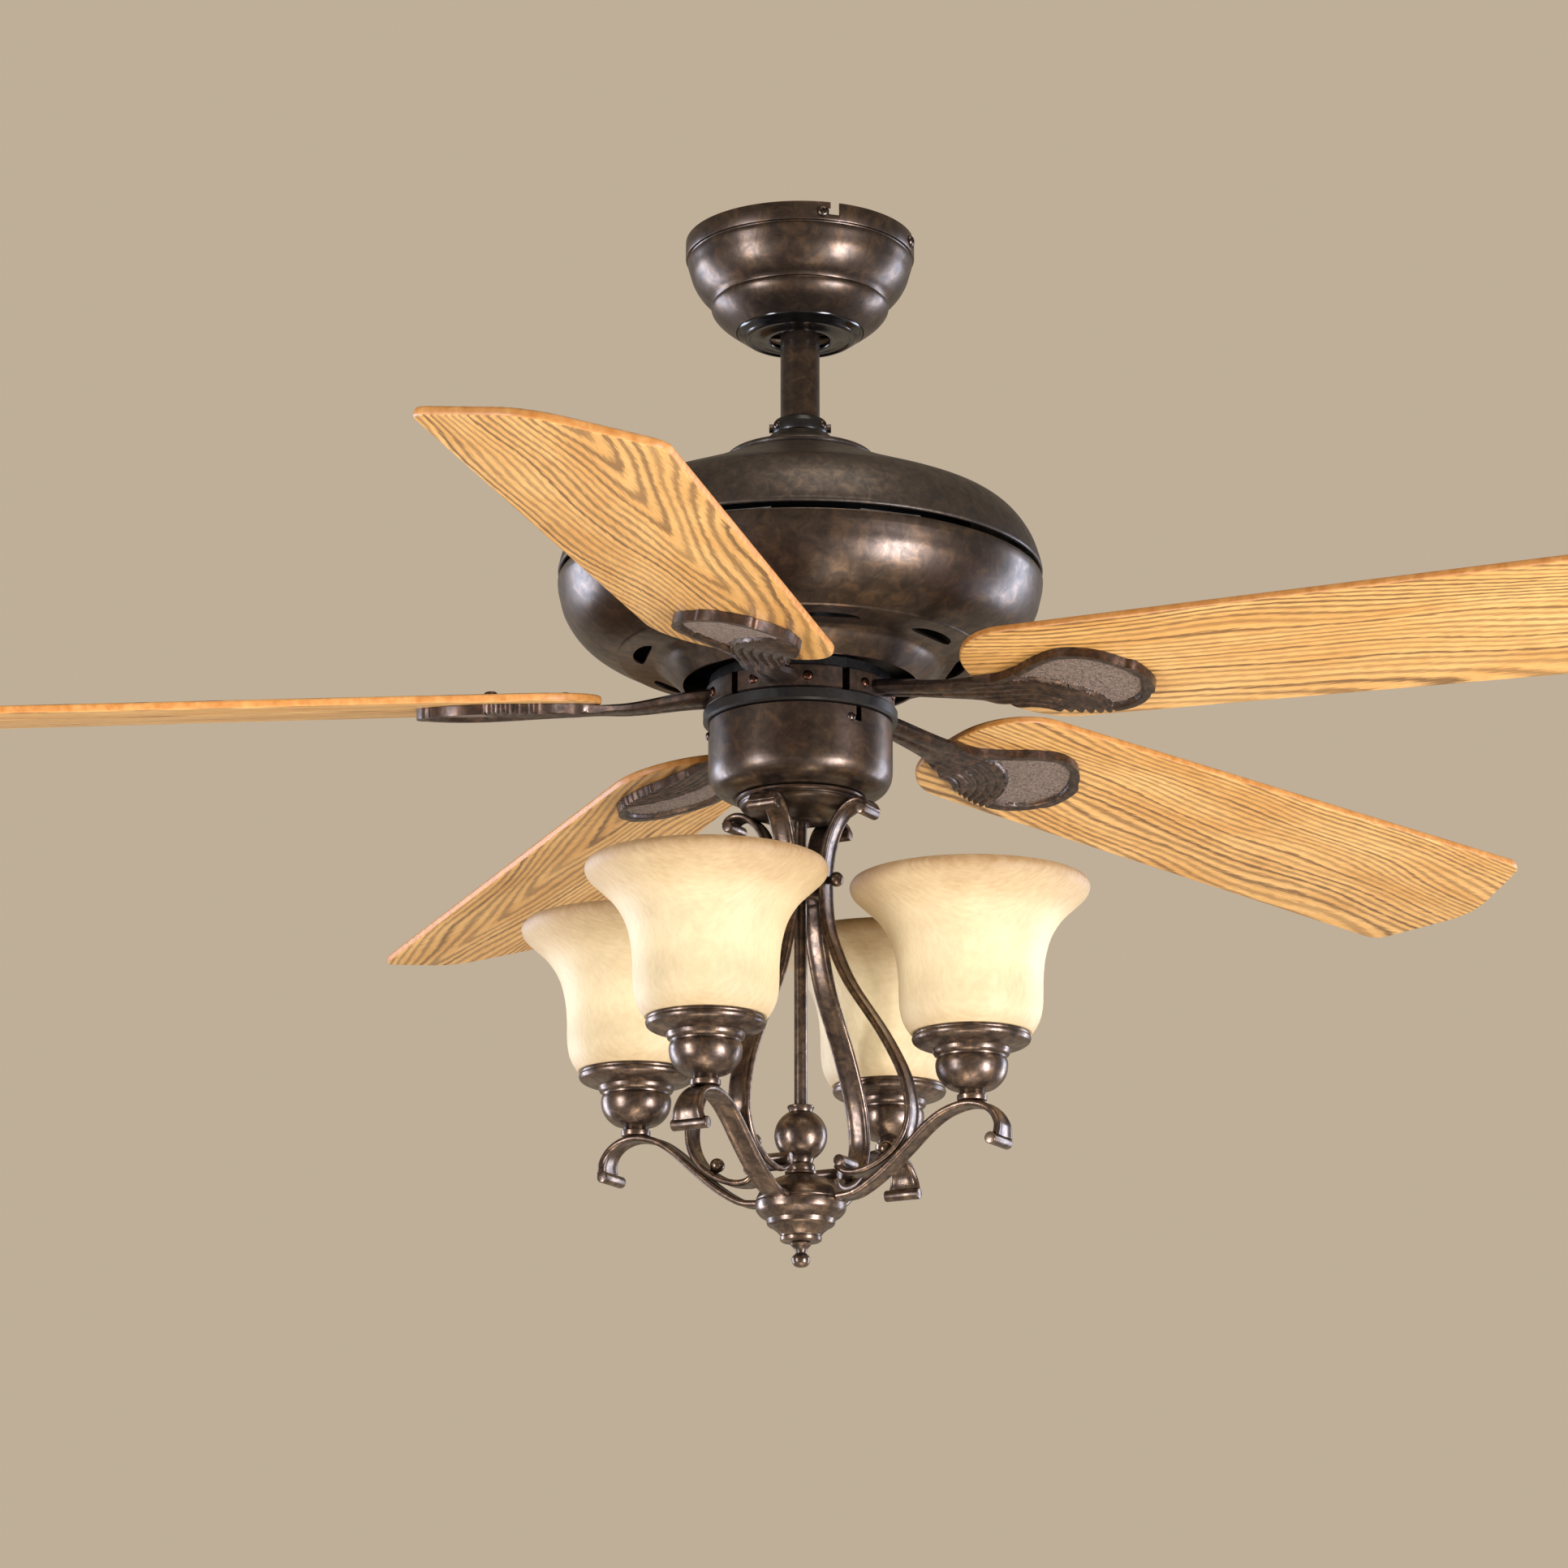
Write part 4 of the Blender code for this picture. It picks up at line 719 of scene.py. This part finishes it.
rod_piece = spun("kit_rod_bar", [(0.0, -397.0), (4.25, -397.0), (4.25, -398.0), (4.25, -401.0),
                                 (4.25, -500.0), (4.25, -598.0), (4.25, -600.9), (4.25, -601.9),
                                 (0.0, -601.9)], 40)
hand_over(rod_piece, "hanging_frame", bronze_cast, ["light_kit_rod"])
collar_turning = [(4.6, -451.0)] + flow([(11.6, -451.0), (13.6, -452.0), (16.0, -454.4)], 3) + [
    (16.2, -455.4), (16.2, -460.6)] + flow([(16.0, -461.6), (13.6, -464.0), (11.6, -465.0)], 3) + [
    (4.6, -465.0), (4.6, -451.0)]
hand_over(spun("strap_collar_turning", collar_turning, 64), "hanging_frame", bronze_cast,
          ["strap_collar"])

ball_line = [(0.0, -602.3), (8.4, -602.3), (8.8, -602.8), (8.8, -603.8), (8.0, -604.8)]
for k in range(25):
    tilt = math.radians(64 - k * 5.1)
    ball_line.append((17.3 * math.cos(tilt), -622.0 + 17.3 * math.sin(tilt)))
ball_line += [(8.2, -638.8), (7.8, -640.2), (8.9, -641.4), (9.3, -643.2), (8.9, -645.2),
              (10.4, -646.0), (10.4, -647.6), (0.0, -647.6)]
hand_over(spun("centre_ball_turning", ball_line, 80), "hanging_frame", bronze_cast,
          ["centre_ball"])

hub_line = [(0.0, -648.2), (10.6, -648.2)] + flow(
    [(11.4, -648.6), (18.4, -651.6), (25.0, -656.6), (28.4, -662.0), (29.2, -664.2)], 4) + [
    (28.9, -664.9), (29.5, -665.6)] + flow(
    [(29.7, -666.6), (29.6, -669.4), (29.0, -672.0), (26.4, -675.2), (23.6, -677.0)], 4) + flow(
    [(22.6, -677.6), (22.4, -678.8), (22.0, -680.6), (20.6, -682.0)], 3) + flow(
    [(19.4, -682.4), (16.4, -684.6), (14.0, -687.0), (13.2, -688.4)], 3) + [
    (13.7, -689.2), (13.4, -691.2), (12.2, -692.0), (0.0, -692.0)]
hand_over(spun("arm_hub_turning", hub_line, 96), "hanging_frame", bronze_cast,
          ["arm_hub"])
finial_line = [(0.0, -692.4), (6.6, -692.4), (7.0, -693.2)] + flow(
    [(6.4, -694.4), (4.6, -696.2), (3.7, -698.4), (3.6, -699.4)], 3) + flow(
    [(4.2, -700.2), (5.5, -701.4), (6.0, -703.4), (5.4, -706.0), (3.6, -708.0), (0.0, -708.8)], 4)
hand_over(spun("finial_turning", finial_line, 64), "hanging_frame", bronze_cast,
          ["finial"])

# ---------------------------------------------------------------- arms and scroll straps


def bead_bar_section(width, web, bead):
    """Half-round beads along both edges of a thinner flat web, as (side, rise) points."""
    reach = width / 2 - bead
    right = []
    for k in range(9):
        turn = math.radians(132 - k * 33)
        right.append((reach + bead * math.cos(turn), bead * math.sin(turn)))
    upper = [(reach * 0.35, web / 2)]
    lower = [(reach * 0.35, -web / 2)]
    half = upper + right + lower
    return half + [(-side, rise) for side, rise in half[::-1]]


def drawn_bar(name, section, line, widths):
    """Pulls a section along a line of (radius, height) points, turning and widening it as it
    goes."""
    line = [Vector(spot) for spot in line]
    way = (line[1] - line[0]).normalized()
    rise = Vector((-way.y, way.x))
    spots = []
    for side, up in section:
        at = line[0] + rise * up
        spots.append(Vector((at.x, side * widths[0], at.y)) * MM)
    piece = drawn(name, spots)
    bpy.ops.mesh.edge_face_add()
    facing = way
    for index in range(1, len(line)):
        step = line[index] - line[index - 1]
        bpy.ops.mesh.extrude_region_move(
            TRANSFORM_OT_translate={"value": (step.x * MM, 0.0, step.y * MM)})
        centre = (line[index].x * MM, 0.0, line[index].y * MM)
        if index < len(line) - 1:
            ahead = (line[index + 1] - line[index - 1]).normalized()
        else:
            ahead = step.normalized()
        bend = math.atan2(facing.x * ahead.y - facing.y * ahead.x, facing.dot(ahead))
        bpy.ops.transform.rotate(value=bend, orient_axis="Y", center_override=centre)
        facing = ahead
        ratio = widths[index] / widths[index - 1]
        if abs(ratio - 1) > 1e-6:
            bpy.ops.transform.resize(value=(1.0, ratio, 1.0), center_override=centre)
    bpy.ops.object.mode_set(mode="OBJECT")
    return settle(piece, 40)


def flare(count, start, end, fade):
    """Width ratios along a bar that widens towards its ends."""
    ratios = []
    for index in range(count):
        part = index / (count - 1)
        lead = max(0.0, 1 - part / fade) ** 2
        tail = max(0.0, 1 - (1 - part) / fade) ** 2
        ratios.append(1 + (start - 1) * lead + (end - 1) * tail)
    return ratios


def end_roll(name, spot, half, radius=3.9):
    """The rolled tip of a bar: a short round with softened rims."""
    bpy.ops.object.select_all(action="DESELECT")
    bpy.ops.mesh.primitive_cylinder_add(
        vertices=36, radius=radius * MM, depth=2 * half * MM,
        location=(spot[0] * MM, 0, spot[1] * MM), rotation=(math.pi / 2, 0, 0))
    piece = begin(name)
    bpy.ops.object.mode_set(mode="EDIT")
    bpy.ops.mesh.select_all(action="DESELECT")
    bpy.ops.object.mode_set(mode="OBJECT")
    for edge in piece.data.edges:
        a, b = (piece.data.vertices[v].co for v in edge.vertices)
        edge.select = abs(a.y - b.y) < 1e-6 and abs(abs(a.y) - half * MM) < 1e-6
    bpy.ops.object.mode_set(mode="EDIT")
    bpy.ops.mesh.bevel(offset=0.7 * MM, segments=3, affect="EDGES")
    bpy.ops.object.mode_set(mode="OBJECT")
    return piece


LAMP_FIRST = -28.7
ARM_REACH = 125.0
arm_points = [
    (29.6, -665.0), (41.2, -663.5), (53.1, -657.5), (66.0, -648.5), (80.0, -636.8),
    (92.0, -626.2), (103.0, -618.6), (114.0, -614.4), (125.0, -613.0), (135.0, -615.4),
    (142.5, -620.8), (146.5, -628.5), (146.25, -636.0),
]
arm_line = flow(arm_points, 5)
arm = drawn_bar("arm_pattern", bead_bar_section(16.0, 3.1, 2.3), arm_line,
                flare(len(arm_line), 1.0, 25 / 16, 0.30))
cut(arm, end_roll("tip", (143.6, -638.4), 12.9), "UNION")
settle(arm, 40)

strap_points = [
    (53.4, -408.0), (50.9, -404.0), (45.2, -402.2), (37.9, -404.5), (29.3, -413.0),
    (23.2, -426.0), (20.0, -440.0), (18.9, -458.0), (20.4, -480.0), (25.3, -498.0),
    (37.1, -524.0), (61.1, -559.5), (76.2, -588.0), (81.5, -610.0), (80.0, -624.0),
    (74.0, -634.8), (66.0, -641.8), (56.0, -647.2), (45.0, -650.2), (36.3, -649.6),
    (30.6, -645.5),
]
strap_line = flow(strap_points, 5)
strap = drawn_bar("strap_pattern", bead_bar_section(16.0, 2.9, 2.2), strap_line,
                  flare(len(strap_line), 21 / 16, 21 / 16, 0.26))
cut(strap, end_roll("tip", (50.2, -409.5), 10.9, 3.8), "UNION")
cut(strap, end_roll("tip", (33.4, -642.6), 10.9, 3.8), "UNION")
settle(strap, 40)

knob_line = [(0.0, 7.4)] + [
    (5.0 * math.cos(math.radians(t)), 3.0 + 4.6 * math.sin(math.radians(t)))
    for t in range(75, -60, -15)] + [(2.6, -1.6), (2.6, -4.4), (0.0, -4.4)]
knob_pattern = spun("cap_nut_pattern", knob_line, 32)

cup_line = [(2.5, -610.8), (9.4, -610.8), (9.7, -610.2), (9.7, -607.6), (8.6, -606.6),
            (8.2, -605.6)] + flow(
    [(9.6, -604.6), (14.6, -603.0), (19.0, -599.4), (22.2, -594.4), (23.4, -589.0),
     (23.2, -585.4), (22.4, -583.4)], 4) + flow(
    [(22.6, -582.4), (24.2, -581.2), (25.0, -579.4), (25.2, -577.8)], 2) + flow(
    [(26.8, -577.2), (31.0, -576.2), (35.0, -574.8), (37.4, -573.2), (38.2, -571.8)], 4) + flow(
    [(38.5, -570.8), (38.2, -569.8), (37.5, -569.4)], 2) + flow(
    [(37.9, -568.8), (37.8, -567.6), (37.0, -567.0), (36.4, -567.3)], 2) + [
    (35.9, -571.2), (13.8, -571.2), (13.8, -581.0), (2.5, -581.0), (2.5, -610.8)]
cup_pattern = spun("cup_pattern", cup_line, 80)
socket_line = [(0.0, -580.7), (13.5, -580.7), (13.5, -546.6), (12.8, -545.2), (11.0, -545.0),
               (11.0, -541.4), (0.0, -541.4)]
socket_pattern = spun("socket_pattern", socket_line, 48)
bell_line = flow(
    [(29.7, -570.9), (32.6, -570.2), (34.4, -567.6), (38.4, -563.0), (41.6, -556.8),
     (43.2, -549.6), (43.6, -542.0), (43.9, -530.2), (45.6, -516.0), (50.0, -501.6),
     (57.8, -489.2), (67.6, -479.6), (73.2, -474.4), (74.8, -471.6)], 5) + flow(
    [(75.0, -470.6), (74.6, -469.6), (73.4, -469.4)], 2)
bell_inner = offset(bell_line, 3.0)[::-1]
bell_pattern = spun("bell_pattern", [(14.5, -570.9)] + bell_line
                    + [spot for spot in bell_inner[2:] if spot[1] > -567.9]
                    + [(14.5, -567.9), (14.5, -570.9)], 128)
bulb_line = [(0.0, -541.0), (9.4, -541.0), (9.9, -538.4)] + flow(
    [(10.4, -534.0), (12.8, -526.0), (17.6, -514.0), (20.6, -504.0), (21.0, -498.0),
     (19.0, -489.0), (13.6, -482.4), (6.4, -479.6), (0.0, -479.1)], 4)
bulb_pattern = spun("bulb_pattern", bulb_line, 48)

for number in range(1, 5):
    azimuth = LAMP_FIRST + 90 * (number - 1)
    turn = turned_about(azimuth)
    lamp = turn @ Matrix.Translation((ARM_REACH, 0, 0))
    upper = facing_out(azimuth, 24.0, -453.0)
    lower = turn @ Matrix.Translation((64.2, 0, -638.4)) @ Matrix.Rotation(-0.61, 4, "Y")
    for pattern, name, lay, looks, slot, node in (
        (arm, "beaded_arm", turn, bronze_cast, "bronze", "light_arm"),
        (strap, "beaded_strap", turn, bronze_cast, "bronze", "scroll_strap"),
        (knob_pattern, "upper_cap_nut", upper, bronze_cast, "bronze", None),
        (knob_pattern, "lower_cap_nut", lower, bronze_cast, "bronze", None),
        (cup_pattern, "turned_cup", lamp, bronze_cast, "bronze", "lamp_cup"),
        (socket_pattern, "moulded_socket", lamp, black_plastic, "black_plastic", "lamp_socket"),
        (bell_pattern, "bell_shade", lamp, shade_glass, "frosted_glass", "glass_shade"),
        (bulb_pattern, "soft_white_bulb", lamp, lamp_glow, "bulb_glass", "bulb"),
    ):
        stands_for = [f"{node}_{number}"] if node else ()
        hand_over(copy(pattern, f"{name}_{number}", lay), "hanging_frame", looks, stands_for)

for pattern in (arm, strap, knob_pattern, cup_pattern, socket_pattern, bell_pattern, bulb_pattern):
    bpy.data.objects.remove(pattern, do_unlink=True)

# ---------------------------------------------------------------- blades

BLADE_FIRST = 41.55
PITCH = 11.95
DROOP = 3.09
AXIS_DROP = 324.0
BLADE_THICKNESS = 5.5
blade_plane = (
    Matrix.Translation((0, 0, -AXIS_DROP))
    @ Matrix.Rotation(math.radians(DROOP), 4, "Y")
    @ Matrix.Rotation(math.radians(-PITCH), 4, "X")
)


def rounded(corners):
    """A closed outline from (x, y, radius, steps) corners."""
    outline = []
    count = len(corners)
    for index, (x, y, radius, steps) in enumerate(corners):
        corner = Vector((x, y))
        back = (Vector(corners[index - 1][:2]) - corner).normalized()
        on = (Vector(corners[(index + 1) % count][:2]) - corner).normalized()
        half = back.angle(on) / 2
        reach = radius / math.tan(half)
        centre = corner + (back + on).normalized() * radius / math.sin(half)
        start = corner + back * reach - centre
        sweep = start.angle_signed(corner + on * reach - centre)
        for k in range(steps + 1):
            outline.append(centre + Matrix.Rotation(-sweep * k / steps, 2) @ start)
    return outline


blade_outline = rounded([
    (134.0, -61.0, 50.0, 14), (654.0, -73.5, 16.0, 8), (685.5, 2.0, 50.0, 8),
    (652.5, 73.5, 16.0, 8), (134.0, 61.0, 50.0, 14),
])
blade_pattern = outline_cutter("blade_pattern", blade_outline, -BLADE_THICKNESS / 2,
                               BLADE_THICKNESS / 2)
step = blade_pattern.modifiers.new("eased", "BEVEL")
step.width = 1.7 * MM
step.segments = 4
step.limit_method = "ANGLE"
step.angle_limit = math.radians(60)
bpy.context.view_layer.objects.active = blade_pattern
bpy.ops.object.modifier_apply(modifier=step.name)
blade_pattern.data.materials.append(oak)
blade_pattern.data.materials.append(oak_edge)
for face in blade_pattern.data.polygons:
    face.material_index = 0 if abs(face.normal.z) > 0.80 else 1
settle(blade_pattern, 40)

blade_screw = screw("blade_screw_pattern", 4.6, 2.2)
WASHER_TOP = 1.6
washer_pattern = spun("washer_pattern", [(2.5, 0.1), (6.4, 0.1), (6.8, 0.4), (6.8, 1.2),
                                         (6.4, WASHER_TOP), (2.5, WASHER_TOP), (2.5, 0.1)], 36)
# Where each board was cut: how far along the log, how far off its heart, and which way round.
BOARDS = ((0.15, 0.078, 1.0), (0.95, 0.022, 1.0), (1.7, 0.010, -1.0), (2.63, 0.027, -1.0),
          (3.5, 0.064, 1.0))
UPPER_FACE_SHIFT = 0.35
SCREW_SPOTS = ((158.0, 6.0), (212.0, -20.0), (208.0, 32.0))
for number, (along, heart, way) in enumerate(BOARDS, 1):
    matrix = turned_about(BLADE_FIRST + 72 * (number - 1)) @ blade_plane
    blade = copy(blade_pattern, f"oak_blade_{number}", Matrix.Identity(4))
    for layer in list(blade.data.uv_layers):
        blade.data.uv_layers.remove(layer)
    layer = blade.data.uv_layers.new(name="grain")
    for loop in blade.data.loops:
        spot = blade.data.vertices[loop.vertex_index].co
        shift = 0.0 if spot.z < 0 else UPPER_FACE_SHIFT
        layer.data[loop.index].uv = (along + shift + spot.x * way, spot.y - heart)
    place(blade, matrix)
    hand_over(blade, "rotor", oak, [f"blade_{number}"])
    fixings = []
    for u, v in SCREW_SPOTS:
        at = matrix @ Matrix.Translation((u, v, BLADE_THICKNESS / 2))
        on_washer = at @ Matrix.Translation((0, 0, WASHER_TOP))
        fixings.append(copy(blade_screw, "fixing", on_washer))
        fixings[-1].data.materials.append(screw_plate)
        fixings.append(copy(washer_pattern, "fixing", at))
        fixings[-1].data.materials.append(fibre)
    hand_over(join(f"blade_{number}_fixings", fixings), "rotor", screw_plate)

# ---------------------------------------------------------------- blade irons

# Distances along the blade are measured from the fan's axis; heights are off the blade's middle.
LEAF_TOP = -BLADE_THICKNESS / 2 - 0.3
FOOT_REACH = 60
FOOT_MIDDLE = AXIS_DROP - 327.4 + math.tan(math.radians(DROOP)) * FOOT_REACH
RIDGE_END = 213.0
low_side = flow([(52, -12.0), (80, -12.2), (108, -12.4), (126, -11.4), (150, -9.6), (170, -16.0),
                 (192, -28.0), (213, -34.0), (234, -27.0), (249, -10.0), (256, 8.0)], 10)
high_side = flow([(52, 12.0), (80, 12.2), (108, 13.0), (126, 16.4), (144, 24.0), (164, 33.0),
                  (186, 42.0), (208, 47.0), (230, 43.6), (247, 31.0), (256, 10.0)], 10)
ridge = [Vector(spot) for spot in flow([(112, -9.0), (140, -7.4), (166, -6.0), (186, 1.0),
                                        (202, 14.0), (211, 30.0), (213, 50.0)], 10)]
ridge_line = [tuple(spot) for spot in ridge if spot.x <= RIDGE_END]


def side_at(line, u):
    """The side distance of a boundary line at a distance along the blade."""
    for (ua, va), (ub, vb) in zip(line, line[1:]):
        if ua <= u <= ub:
            return va + (vb - va) * (u - ua) / max(ub - ua, 1e-9)
    return line[-1][1] if u > line[-1][0] else line[0][1]


def gap_to(line, spot):
    """The least distance from a spot to a line of points."""
    best = math.inf
    for a, b in zip(line, line[1:]):
        way = b - a
        t = max(0.0, min(1.0, (spot - a).dot(way) / max(way.length_squared, 1e-9)))
        best = min(best, (spot - a - way * t).length)
    return best


FLUTE = 6.4
FLUTE_FLOOR = 4.4
FLUTE_HEIGHT = 2.2
RIM_START = 136
RIM_END = 214
RIM_HEIGHT = 6.4
RIM_FLAT = 3.4
RIM_ROUND = 3.6
LEAF_FLOOR = 3.2
RIDGE_EDGE = 3.0
tip_turn = [Vector((256.0, 8.0)), Vector((256.6, 9.0)), Vector((256.0, 10.0))]
rim_line = ([Vector(spot) for spot in low_side if spot[0] > RIM_START] + tip_turn
            + [Vector(spot) for spot in high_side[::-1] if spot[0] > RIM_END])


def smooth_step(value):
    value = max(0.0, min(1.0, value))
    return value * value * (3 - 2 * value)


def ease_over(u, start, length):
    """From 0 at the start to 1 at the end of a stretch along the blade."""
    return smooth_step((u - start) / length)


def leaf_depth(u, v):
    """How far the casting stands below the blade's underside at a spot of the leaf."""
    spot = Vector((u, v))
    from_ridge = gap_to(ridge, spot)
    if u < RIDGE_END and v > side_at(ridge_line, u):
        return FLUTE_FLOOR + FLUTE_HEIGHT * abs(math.sin(math.pi * from_ridge / FLUTE)) ** 0.7
    edge = RIDGE_EDGE * smooth_step(1 - from_ridge / RIDGE_EDGE) + LEAF_FLOOR
    past_flat = max(0.0, gap_to(rim_line, spot) - RIM_FLAT) / RIM_ROUND
    rim = RIM_HEIGHT * math.sqrt(max(0.0, 1 - past_flat ** 2))
    return max(edge, rim)


# Stretches of the arm, each as its start and its length along the blade.
ARM_TWIST = (58.0, 92.0)
ARM_FALL = (62.0, 62.0)
ARM_INTO_LEAF = (122.0, 30.0)
ARM_HALF = 5.4
NECK_HALF = 3.2
CREASE_DEPTH = 0.9
CREASE_WIDTH = 0.16


def iron_heights(u, v):
    """Lower and upper face heights of the whole casting, from foot to tip, off the blade plane."""
    twisted = ease_over(u, *ARM_TWIST)
    fallen = ease_over(u, *ARM_FALL)
    blend = ease_over(u, *ARM_INTO_LEAF)
    level = math.tan(math.radians(PITCH)) * v * (1 - twisted)
    path = FOOT_MIDDLE * (1 - fallen) + (LEAF_TOP - 3.0) * fallen
    low_v = side_at(low_side, u)
    high_v = side_at(high_side, u)
    aside = (v - (low_v + high_v) / 2) / max((high_v - low_v) / 2, 0.01)
    thick = ARM_HALF * (1 - twisted) + NECK_HALF * twisted
    thick *= 1 - 0.62 * min(1.0, abs(aside)) ** 3.2
    crease = CREASE_DEPTH * math.exp(-(aside / CREASE_WIDTH) ** 2) * (1 - blend)
    leaf_low = LEAF_TOP - leaf_depth(u, v)
    low = (path + level - thick + crease) * (1 - blend) + leaf_low * blend
    high = (path + level + thick) * (1 - blend) + LEAF_TOP * blend
    return low, high
ALONG = 150
ACROSS = 56
bpy.ops.object.select_all(action="DESELECT")
bpy.ops.mesh.primitive_grid_add(x_subdivisions=ALONG, y_subdivisions=ACROSS, size=1.0)
iron_pattern = begin("iron_pattern")
bpy.ops.object.mode_set(mode="EDIT")
bpy.ops.mesh.select_all(action="SELECT")
bpy.ops.mesh.extrude_region_move(TRANSFORM_OT_translate={"value": (0.0, 0.0, 1.0)})
bpy.ops.object.mode_set(mode="OBJECT")
U_START = 54.0
U_END = 256.4
SIDES_END = 255.9
FLUTES_START = 140.0
TIP_START = 249.0
TIP_LENGTH = 7.5
TIP_MIDDLE = 10.0
for vertex in iron_pattern.data.vertices:
    t = 1 - (0.5 - vertex.co.x) ** 1.25
    s = vertex.co.y + 0.5
    u = U_START + (U_END - U_START) * t
    low_v = side_at(low_side, min(u, SIDES_END))
    high_v = side_at(high_side, min(u, SIDES_END))
    if FLUTES_START < u < RIDGE_END:
        wave = abs(math.sin(math.pi * gap_to(ridge, Vector((u, high_v))) / FLUTE))
        high_v += (1.7 * wave - 1.0) * ease_over(u, FLUTES_START, 15)
    if u > TIP_START:
        shrink = math.sqrt(max(0.0, 1 - ((u - TIP_START) / TIP_LENGTH) ** 2))
        low_v = TIP_MIDDLE + (side_at(low_side, TIP_START) - TIP_MIDDLE) * shrink
        high_v = TIP_MIDDLE + (side_at(high_side, TIP_START) - TIP_MIDDLE) * shrink
    v = low_v + (high_v - low_v) * s
    low_w, high_w = iron_heights(u, v)
    vertex.co = Vector((u, v, high_w if vertex.co.z > 0.5 else low_w)) * MM
settle(iron_pattern, 50)
iron_pattern.data.materials.append(bronze_iron)
iron_pattern.data.materials.append(bronze_sand)
# The floor between the rims is bare sand casting.
for face in iron_pattern.data.polygons:
    spot = face.center / MM
    sanded = face.normal.z < -0.9 and spot.x > 150 and LEAF_TOP - spot.z < 3.6
    face.material_index = 1 if sanded else 0

FOOT_TOP = -319.5
FOOT_LOW = -334.5
foot_section = [(31.0, FOOT_TOP), (62.4, FOOT_TOP), (63.0, FOOT_TOP - 0.7), (63.0, FOOT_LOW + 0.8),
                (62.2, FOOT_LOW), (31.0, FOOT_LOW), (31.0, FOOT_TOP)]
foot_pattern = spun("foot_pattern", foot_section, 40, angle=67.0, start=-33.5)
iron_screw = screw("iron_screw_pattern", 3.4, 2.0)
for number in range(1, 6):
    turn = turned_about(BLADE_FIRST + 72 * (number - 1))
    leaf = copy(iron_pattern, f"cast_iron_leaf_{number}", turn @ blade_plane)
    cut(leaf, copy(foot_pattern, "foot", turn), "UNION")
    settle(leaf, 50)
    hand_over(leaf, "rotor", bronze_iron, [f"blade_iron_{number}"])
    for pair, azimuth in enumerate((-17, 17), 1):
        lay = turn @ facing_out(azimuth, 62.9, -327.6)
        hand_over(copy(iron_screw, f"iron_{number}_screw_{pair}", lay), "rotor", screw_plate)

for pattern in (blade_pattern, blade_screw, washer_pattern, iron_pattern, foot_pattern,
                iron_screw, head):
    bpy.data.objects.remove(pattern, do_unlink=True)
